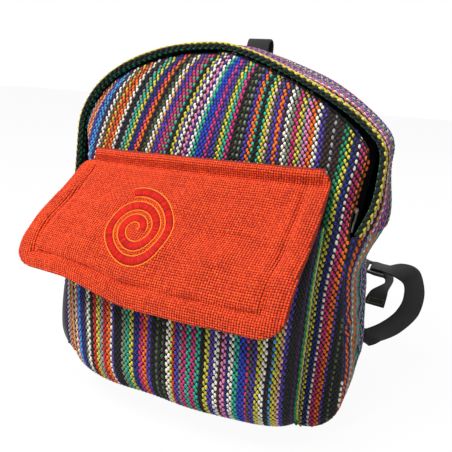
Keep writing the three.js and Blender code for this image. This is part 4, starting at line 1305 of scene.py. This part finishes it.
def makeSpiral():
    plan = spiralSettings
    centre = spiralLine(0)
    _, _, out = slopes(upFlap, centre[:, 0], centre[:, 1])
    rings = []
    for angle in np.linspace(0, 2 * math.pi, 14, endpoint=False):
        line = spiralLine(plan["padShare"] * plan["band"] * math.cos(angle))
        high = plan["lift"] + plan["baseThick"] * math.sin(angle)
        rings.append(upFlap(line[:, 0], line[:, 1]) + out * high)
    base = tube("spiral_padding", np.stack(rings, 1), redGround)
    finishBag(base, "red_thread", "embroidered_spiral")
    stitches = stitchLine("spiral_satin", upFlap, centre, plan["threadPitch"], plan["thread"],
                          linear(plan["red"]), plan["lift"] + plan["threadLift"], satinThread, seed=81,
                          spread=plan["threadSpread"], across=True)
    finishBag(stitches, "red_thread")
    for label, side in (("outer", 0.5), ("inner", -0.5)):
        line = spiralLine(side * plan["band"])
        thread = stitchLine("spiral_edge_" + label, upFlap, line, plan["edgePitch"], plan["edgeThread"],
                            linear(plan["edge"]), plan["lift"] + plan["edgeLift"], satinThread, seed=83)
        finishBag(thread, "red_thread")


makeSpiral()
print("spiral made")


# Zip: two tapes with a row of teeth each, metal slider, pull and stops

zipSettings = {
    "endGap": 4.7, "toothPitch": 1.55, "tooth": (3.0, 1.15, 2.3), "toothAt": 1.75, "tapeThick": 0.9,
    "frontReach": 11, "backReach": 17, "backBend": 7.5, "frontGap": 0.8, "chainHalf": 0.9, "flatReach": 2.7,
    "columns": 12, "rows": 180, "toothColour": "111113",
}


def zipPlace(s, t):
    # s is measured across the chain, forwards for the front tape and backwards for the rear one
    plan = zipSettings
    share = shareOf(t)
    x, z = outline(share, 0)
    front = frontY(x, z)
    start = plan["flatReach"]
    reach = np.where(s < 0, plan["frontReach"], plan["backReach"])
    bend = np.where(s < 0, edgeInset(share) + plan["frontGap"] - bag["zipInset"], -plan["backBend"])
    inset = bag["zipInset"] + bend * smooth((np.abs(s) - start) / (reach - start))
    x, z = outline(share, inset)
    return np.stack([x, front + bag["teethDepth"] + s, z], -1)


def makeZip():
    plan = zipSettings
    spanT = (zipLength + plan["endGap"], 2 * halfLength - zipLength - plan["endGap"])
    for label, side, reach in (("front", -1, plan["frontReach"]), ("back", 1, plan["backReach"])):
        across = np.sort(side * np.linspace(plan["chainHalf"], reach, plan["columns"]))
        s, t = np.meshgrid(across, np.linspace(spanT[0], spanT[1], plan["rows"]))
        middle = zipPlace(s, t)
        _, _, out = slopes(zipPlace, s, t)
        half = plan["tapeThick"] / 2
        tape = shell("zip_tape_" + label + "_cloth", middle + out * half, middle - out * half, zipTapeCloth,
                     np.stack([s, t], -1))
        finishBag(tape, "zip_tape", "zip_tape_" + label)
        stops = np.arange(spanT[0] + 0.5, spanT[1] - 0.5, plan["toothPitch"])
        stops = stops + (0.5 * plan["toothPitch"]) * (side > 0)  # the two rows of teeth stand in turn
        s = 0 * stops + side * plan["toothAt"]
        points = zipPlace(s, stops)
        alongS, _, out = slopes(zipPlace, s, stops)
        colours = np.tile(np.array(linear(plan["toothColour"])), (len(stops), 1)).astype(np.float32)
        teeth = addBeads("zip_teeth_" + label, points, alongS, out, colours, plan["tooth"], zipTooth,
                         twist=0.0, uneven=0.02, seed=91)
        finishBag(teeth, "zip_tape")
    for node in ("zip_stop_right", "zip_stop_left", "zip_slider", "zip_pull"):
        dress(node, nickel)


def dress(node, material):
    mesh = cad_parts[node].data
    mesh.materials.clear()
    mesh.materials.append(material)


makeZip()
print("zip made")


# Straps on the back

strapSettings = {
    "webWidth": 25, "webThick": 1.8, "webGap": 0.4,
    "padWidth": 56, "padEnd": 36, "padThick": 11, "padGap": 24, "padTaper": (0.45, 0.5), "padSides": 36,
    "padRound": 0.55, "padFlat": 0.75, "padFull": 0.9, "padRipple": 0.05, "padTip": 9, "padFill": 0.6,
    "bindingIn": 0.6, "binding": (1.5, 2.4),
    "patchHalf": 56, "patchBottom": 276, "patchTop": 312, "patchThick": 4, "patchIn": 0.6, "patchFill": 0.3,
    "tabX": 137, "tabZ": 17, "tabLength": 22, "tabThick": 3.4, "tabHalf": 15, "tabTaper": 1.5,
    "tabFlat": (0.03, 0.022), "stitchPitch": 3.1,
    "lockThick": 3, "barHalf": 2, "topBar": -11, "lowBar": 9, "lockGap": 0.7, "lockBevel": 0.45,
    "endStitch": "6b7a4a", "tabStitch": "22463a", "patchStitch": "1b1b1e",
}
tabStart = backY + bag["seam"]
padTopY = backY + strapSettings["padThick"] / 2 + 1.4
wrapOut = strapSettings["lockThick"] / 2 + strapSettings["lockGap"] + strapSettings["webThick"] / 2


def lockStops(centre, direction, acrossIt):  # places beside a ladder lock: along the strap and off its face
    p = unit(np.array(direction, float))
    a = np.array(acrossIt, float)
    a = unit(a - a.dot(p) * p)
    q = np.cross(a, p)
    return lambda onward, out: [*(np.array(centre, float) + p * onward + q * out), *a]


tabX, tabZ = strapSettings["tabX"], strapSettings["tabZ"]
tabEnd = tabStart + strapSettings["tabLength"]
straps = {  # routes as (x, y, z) and the direction across the strap
    "right": {
        "lock": lockStops([151, 84, 119], [1, 0, -0.12], [0, 1, 0]),
        "pad": [[29, padTopY, 275, 1, 0, 0], [29, padTopY + 1, 266, 1, 0, 0], [38, 81, 248, 1, 0, 0],
                [60, 95, 220, 0.97, 0.2, 0], [87, 98, 184, 0.8, 0.6, 0], [110, 92, 150, 0.4, 0.9, 0.1]],
        "tail": [[156, 83, 76, 0.92, 0.4, 0], [160, 84, 92, 0.75, 0.65, 0], [168, 84, 107, 0.3, 0.95, 0]],
        "onward": [[178, 82, 122, 0, 0.9, 0.4], [190, 80, 118, 0.3, 0.7, 0.7], [196, 78, 101, 0.8, 0.6, 0.15],
                   [193, 79, 78, 0.85, 0.4, -0.3], [178, 85, 53, 0.6, 0.4, -0.7],
                   [160, 95, 34, 0.1, 0.5, -0.85], [145, 103, 22, -0.5, 0.2, -0.8],
                   [tabX, tabEnd + 8, tabZ, -1, 0, -1], [tabX, tabEnd + 0.4, tabZ, -1, 0, -1]],
    },
    "left": {
        "lock": lockStops([-106, 95, 128], [-0.12, 0.05, -1], [1, 0, 0]),
        "pad": [[-29, padTopY, 275, 1, 0, 0], [-29, padTopY + 1, 266, 1, 0, 0], [-36, 81, 248, 1, 0, 0],
                [-54, 93, 222, 1, 0, 0], [-77, 98, 194, 1, 0, -0.1], [-96, 97, 168, 1, 0, -0.1]],
        "tail": [[-114, 106, 76, 1, 0, 0], [-112, 104, 92, 1, 0, 0], [-109, 101, 106, 1, 0, 0]],
        "onward": [[-110, 94, 100, 1, 0, 0], [-116, 98, 80, 1, 0, 0], [-124, 104, 56, 0.9, 0, 0.2],
                   [-132, 104, 32, 0.8, 0, 0.5], [-137, 98, 20, 0.9, 0, -0.8],
                   [-tabX, tabEnd + 6, tabZ, 1, 0, -1], [-tabX, tabEnd + 0.4, tabZ, 1, 0, -1]],
    },
}


class Route:  # centre line of a strap, with the directions across it and out of its face
    def __init__(self, points, perSpan=10):
        way = np.array(points, float)
        self.middle = spline(way[:, :3], perSpan)
        place = np.linspace(0, len(way) - 1, len(self.middle))
        wide = np.stack([np.interp(place, np.arange(len(way)), way[:, 3 + i]) for i in range(3)], -1)
        tangent = unit(np.gradient(self.middle, axis=0))
        self.wide = unit(wide - (wide * tangent).sum(-1, keepdims=True) * tangent)
        self.out = np.cross(self.wide, tangent)
        self.run = runLength(self.middle)
        self.part = place / (len(way) - 1)

    def at(self, t, values):
        return np.stack([np.interp(t, self.run, values[:, i]) for i in range(3)], -1)


def webProfile(width, thick):  # section of the webbing, with rounded edges
    w, b = width / 2, thick / 2
    half = [(-w, 0), (-w + 0.25, -0.7 * b), (-w + 0.7, -b), (0, -b), (w - 0.7, -b), (w - 0.25, -0.7 * b)]
    return np.array(half + [(-a, -b) for a, b in half])


def webbing(name, route, slot, *nodes):
    profile = webProfile(strapSettings["webWidth"], strapSettings["webThick"])
    rings = (route.middle[:, None] + route.wide[:, None] * profile[None, :, :1]
             + route.out[:, None] * profile[None, :, 1:])
    across, along = np.broadcast_arrays(profile[None, :, 0], route.run[:, None])
    return finishBag(tube(name, rings, blackWebbing, np.stack([across, along], -1)), slot, *nodes)


def onRoute(route, lift):  # the outer face of a flat strap
    def place(s, t):
        return (route.at(t, route.middle) + route.at(t, route.wide) * np.asarray(s)[..., None]
                + route.at(t, route.out) * lift)
    return place


def boxStitch(name, place, low, high, slot, colour, seed, cross=True, lift=0.1, size=(2.5, 0.8, 0.7)):
    # a row of stitches round a rectangle of (s, t), and its diagonals
    (s0, t0), (s1, t1) = low, high
    corners = [(s0, t0), (s1, t0), (s1, t1), (s0, t1), (s0, t0)]
    if cross:
        corners += [(s1, t1), (s1, t0), (s0, t1)]
    sides = [np.linspace(a, b, 12)[:-1] for a, b in zip(corners[:-1], corners[1:])]
    line = np.vstack(sides + [[corners[-1]]])
    pitch = strapSettings["stitchPitch"]
    rows = stitchLine(name, place, line, pitch, size, linear(colour), lift, satinThread, seed)
    return finishBag(rows, slot)


padPlan = sequence(
    "navy 1, white 1, teal 2, black 2, orange 2, yellow 2, purple 3, magenta 2, black 2, royal 2, yellow 1,"
    "teal 2, plum 2"
)


def makePad(side, route):
    plan = strapSettings

    def halfWide(t):
        part = np.interp(t, route.run, route.part)
        start, reach = plan["padTaper"]
        narrower = 1 - plan["padEnd"] / plan["padWidth"]
        return plan["padWidth"] / 2 * (1 - narrower * smooth((part - start) / reach))

    def halfThick(t):
        tip = plan["padTip"]
        ends = smooth(t / tip + 0.35) * smooth((route.run[-1] - t) / tip + 0.35)
        return plan["padThick"] / 2 * (plan["padFull"] + plan["padRipple"] * ripple(t, 0 * t, 45, 101)) * ends

    angles = np.linspace(0, 2 * math.pi, plan["padSides"], endpoint=False)
    cosine, sine = np.cos(angles), np.sin(angles)
    t = route.run[:, None]
    a = halfWide(t) * (np.sign(cosine) * np.abs(cosine) ** plan["padRound"])[None, :]
    b = halfThick(t) * (np.sign(sine) * np.abs(sine) ** plan["padFlat"])[None, :]
    rings = route.middle[:, None] + route.wide[:, None] * a[..., None] + route.out[:, None] * b[..., None]
    uv = np.stack([a, t + 0 * a], -1)
    body = finishBag(tube(f"shoulder_pad_{side}_body", rings, padLining, uv), "striped_cloth",
                     f"shoulder_pad_{side}")

    def place(s, t):
        wide = np.clip(np.abs(s) / halfWide(t), 0, 0.98)
        high = halfThick(t) * (1 - wide ** (2 / plan["padRound"])) ** (plan["padFlat"] / 2)
        return (route.at(t, route.middle) + route.at(t, route.wide) * s[..., None]
                + route.at(t, route.out) * high[..., None])

    def keep(s, t):
        return (np.abs(s) < halfWide(t) - 3.2) & (t > 3) & (t < route.run[-1] - 3)

    first = -weave["yarnPitch"] * (len(padPlan) - 1) / 2
    beads = weaveOn(f"shoulder_pad_{side}_weave", place, padPlan, first, (0, route.run[-1]), keep, seed=103)
    finishBag(beads, "striped_cloth")
    wide, tall = plan["binding"]
    turn = np.linspace(0, 2 * math.pi, 10, endpoint=False)
    for label, sign in (("inner", -1), ("outer", 1)):
        rim = route.middle + route.wide * (sign * (halfWide(route.run) - plan["bindingIn"]))[:, None]
        ring = (rim[:, None] + route.wide[:, None] * (wide * np.cos(turn))[None, :, None]
                + route.out[:, None] * (tall * np.sin(turn))[None, :, None])
        piping = tube(f"shoulder_pad_{side}_binding_{label}", ring, greenCloth)
        finishBag(piping, "green_cloth")


def bevelled(node, name, width, material):  # a copy of a frame node with its sharp edges rounded
    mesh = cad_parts[node].data.copy()
    mesh.name = name
    mesh.materials.clear()
    mesh.materials.append(material)
    work = bmesh.new()
    work.from_mesh(mesh)
    bmesh.ops.remove_doubles(work, verts=work.verts, dist=1e-5)
    bmesh.ops.dissolve_limit(work, angle_limit=0.02, verts=work.verts, edges=work.edges)
    sharp = [e for e in work.edges if len(e.link_faces) == 2 and e.calc_face_angle(0) > 0.5]
    bmesh.ops.bevel(work, geom=sharp, offset=width * mm, segments=2, profile=0.6, affect="EDGES")
    work.to_mesh(mesh)
    work.free()
    return link(name, mesh)


def makeStraps():
    plan = strapSettings
    thickness = plan["webThick"] / 2
    for side, parts in straps.items():
        stop = parts["lock"]
        padRoute = Route(parts["pad"] + [stop(-plan["padGap"] - 9, 0), stop(-plan["padGap"], 0)])
        makePad(side, padRoute)
        top = plan["topBar"]
        turn = top + plan["barHalf"] + plan["lockGap"] + thickness
        loop = Route([stop(-plan["padGap"] + 1, -1.5), stop(top - 4, -wrapOut), stop(top, -wrapOut),
                      stop(turn - 0.6, -wrapOut * 0.7), stop(turn, 0), stop(turn - 0.6, wrapOut * 0.7),
                      stop(top, wrapOut), stop(top - 4, wrapOut), stop(-plan["padGap"] + 1, 1.5)], 6)
        webbing(f"buckle_loop_{side}_web", loop, "black_webbing", f"buckle_loop_{side}")
        turn = -plan["barHalf"] - plan["lockGap"] - thickness
        low = plan["lowBar"]
        long = Route(parts["tail"] + [stop(low + 5, wrapOut + 0.4), stop(low - 2, wrapOut), stop(0, wrapOut),
                     stop(turn + 0.6, wrapOut * 0.7), stop(turn, 0), stop(turn + 0.6, -wrapOut * 0.7),
                     stop(0, -wrapOut), stop(low - 2, -wrapOut), stop(low + 5, -wrapOut - 0.4)]
                     + parts["onward"], 8)
        webbing(f"long_webbing_{side}_web", long, "black_webbing", f"long_webbing_{side}")
        boxStitch(f"webbing_end_stitch_{side}", onRoute(long, thickness), (-9, 3), (9, 9), "green_cloth",
                  plan["endStitch"], 111, cross=False)
        node = f"ladder_lock_{side}"
        lock = bevelled(node, node + "_moulding", plan["lockBevel"], blackPlastic)
        finishBag(lock, "black_plastic", node)
        makeTab(side, 1 if side == "right" else -1)


def makeTab(side, sign):
    plan = strapSettings
    diagonal, out = unit(np.array([sign, 0, 1.0])), unit(np.array([1.0, 0, -sign]))

    def place(s, t, high=0.5):
        crown = plan["tabThick"] * (high - 0.12 * np.minimum(1, np.abs(s) / 14) ** 6 * np.sign(high))
        base = np.stack([0 * s + sign * tabX, tabStart + t, 0 * s + tabZ], -1)
        return base + diagonal * np.asarray(s)[..., None] + out * np.asarray(crown)[..., None]

    t, u = np.meshgrid(np.linspace(0, plan["tabLength"], 12), np.linspace(-1, 1, 15), indexing="ij")
    s = u * (plan["tabHalf"] - plan["tabTaper"] * t / plan["tabLength"])
    tab = shell(f"corner_tab_{side}_cloth", place(s, t), place(s, t, -0.5), greenCloth, np.stack([s, t], -1))
    finishBag(tab, "green_cloth", f"corner_tab_{side}")
    rows = boxStitch(f"corner_tab_{side}_stitch", place, (-11, 5), (11, 18), "green_cloth",
                     plan["tabStitch"], 113, lift=0.15)


def makePatch():
    plan = strapSettings
    middle = (plan["patchTop"] + plan["patchBottom"]) / 2
    half = (plan["patchTop"] - plan["patchBottom"]) / 2

    def place(s, t, high=1.0):
        u, v = np.abs(s) / plan["patchHalf"], np.abs(t) / half
        crown = plan["patchThick"] * (1 - 0.55 * np.maximum(u ** 10, v ** 6)) * high
        return np.stack([-s, backY + bag["seam"] - plan["patchIn"] + crown, middle + t], -1)

    s, t = np.meshgrid(np.linspace(-plan["patchHalf"], plan["patchHalf"], 50), np.linspace(-half, half, 22))
    body = shell("anchor_patch_body", place(s, t), place(s, t, 0.0), gapShadeGround, np.stack([s, t], -1))
    finishBag(body, "striped_cloth", "anchor_patch")

    def across(s, t):  # its yarns run from side to side
        return place(-t, s)

    def keep(s, t):
        return (np.abs(s) < half - 1.2) & (np.abs(t) < plan["patchHalf"] - 1.5)

    beads = weaveOn("anchor_patch_weave", across, padPlan[:17], -half + 1.6,
                    (-plan["patchHalf"], plan["patchHalf"]), keep, seed=121)
    finishBag(beads, "striped_cloth")
    corner = (plan["patchHalf"] - 5, half - 5)
    boxStitch("anchor_patch_stitch", place, (-corner[0], -corner[1]), corner, "black_webbing",
              plan["patchStitch"], 123, cross=False, lift=1.2, size=(2.9, 1.0, 0.9))


def makeHaulLoop():
    plan = strapSettings
    inner = tabStart + plan["webThick"] / 2
    outer = inner + plan["webThick"] + plan["webGap"]
    foot = plan["patchTop"] + plan["webGap"]
    places = [(inner, 0), (inner, 12), (inner + 2, 26), (inner + 10, 40), (inner + 20, 38), (inner + 20, 24),
              (outer + 5, 11), (outer, 0)]
    webbing("haul_loop_web", Route([[0, y, foot + rise, 1, 0, 0] for y, rise in places], 8),
            "black_webbing", "haul_loop")


makeStraps()
makePatch()
makeHaulLoop()
print("straps made")


# Light, floor and background

studio = {
    "worldLight": 0.15,
    "key": {"place": (-0.6, -1.0, 2.2), "aim": (0, 0, 0.2), "size": 0.9, "power": 82},
    "fill": {"place": (1.5, -1.2, 0.9), "aim": (0, 0, 0.2), "size": 1.4, "power": 3},
    "rim": {"place": (0.5, 1.6, 1.5), "aim": (0, 0, 0.2), "size": 1.2, "power": 18},
    "floorSize": 14.0,
    "floorGrey": 0.7,
    "whiteShare": 0.95,  # of the floor, as the camera sees it; the rest keeps the bag's shadow
}


def addLamp(name, plan):
    data = bpy.data.lights.new(name, "AREA")
    data.energy = plan["power"]
    data.size = plan["size"]
    lamp = bpy.data.objects.new(name, data)
    lamp.location = plan["place"]
    aim = Vector(plan["aim"]) - Vector(plan["place"])
    lamp.rotation_euler = aim.to_track_quat("-Z", "Y").to_euler()
    scene.collection.objects.link(lamp)


def whiteToCamera(tree):  # white to the camera and in reflections, without more light on the bag
    paths = tree.nodes.new("ShaderNodeLightPath")
    seen = math1(tree, "MAXIMUM", paths.outputs["Is Camera Ray"], paths.outputs["Is Glossy Ray"])
    return math1(tree, "MAXIMUM", seen, paths.outputs["Is Transmission Ray"])


def addStudio():
    world = bpy.data.worlds.new("softStudio")
    scene.world = world
    world.use_nodes = True
    tree = world.node_tree
    light = tree.nodes["Background"]
    seen = whiteToCamera(tree)
    extra = math1(tree, "MULTIPLY", seen, 1 - studio["worldLight"])
    strength = math1(tree, "ADD", extra, studio["worldLight"])
    light.inputs["Color"].default_value = (1, 1, 1, 1)
    tree.links.new(strength, light.inputs["Strength"])
    for name in ("key", "fill", "rim"):
        addLamp(name + "Lamp", studio[name])
    half = studio["floorSize"] / 2
    mesh = bpy.data.meshes.new("floor")
    corners = [(-half, -half, 0), (half, -half, 0), (half, half, 0), (-half, half, 0)]
    mesh.from_pydata(corners, [], [(0, 1, 2, 3)])
    floor = link("floor", mesh)
    material, tree, surface = newMaterial("paleFloor", roughness=0.9)
    surface.inputs["Base Color"].default_value = (*[studio["floorGrey"]] * 3, 1)
    glow = tree.nodes.new("ShaderNodeEmission")
    glow.inputs["Color"].default_value = (1, 1, 1, 1)
    mix = tree.nodes.new("ShaderNodeMixShader")
    seen = whiteToCamera(tree)
    tree.links.new(math1(tree, "MULTIPLY", seen, studio["whiteShare"]), mix.inputs[0])
    tree.links.new(surface.outputs[0], mix.inputs[1])
    tree.links.new(glow.outputs[0], mix.inputs[2])
    tree.links.new(mix.outputs[0], tree.nodes["Material Output"].inputs["Surface"])
    mesh.materials.append(material)


addStudio()
scene.view_settings.view_transform = "Standard"
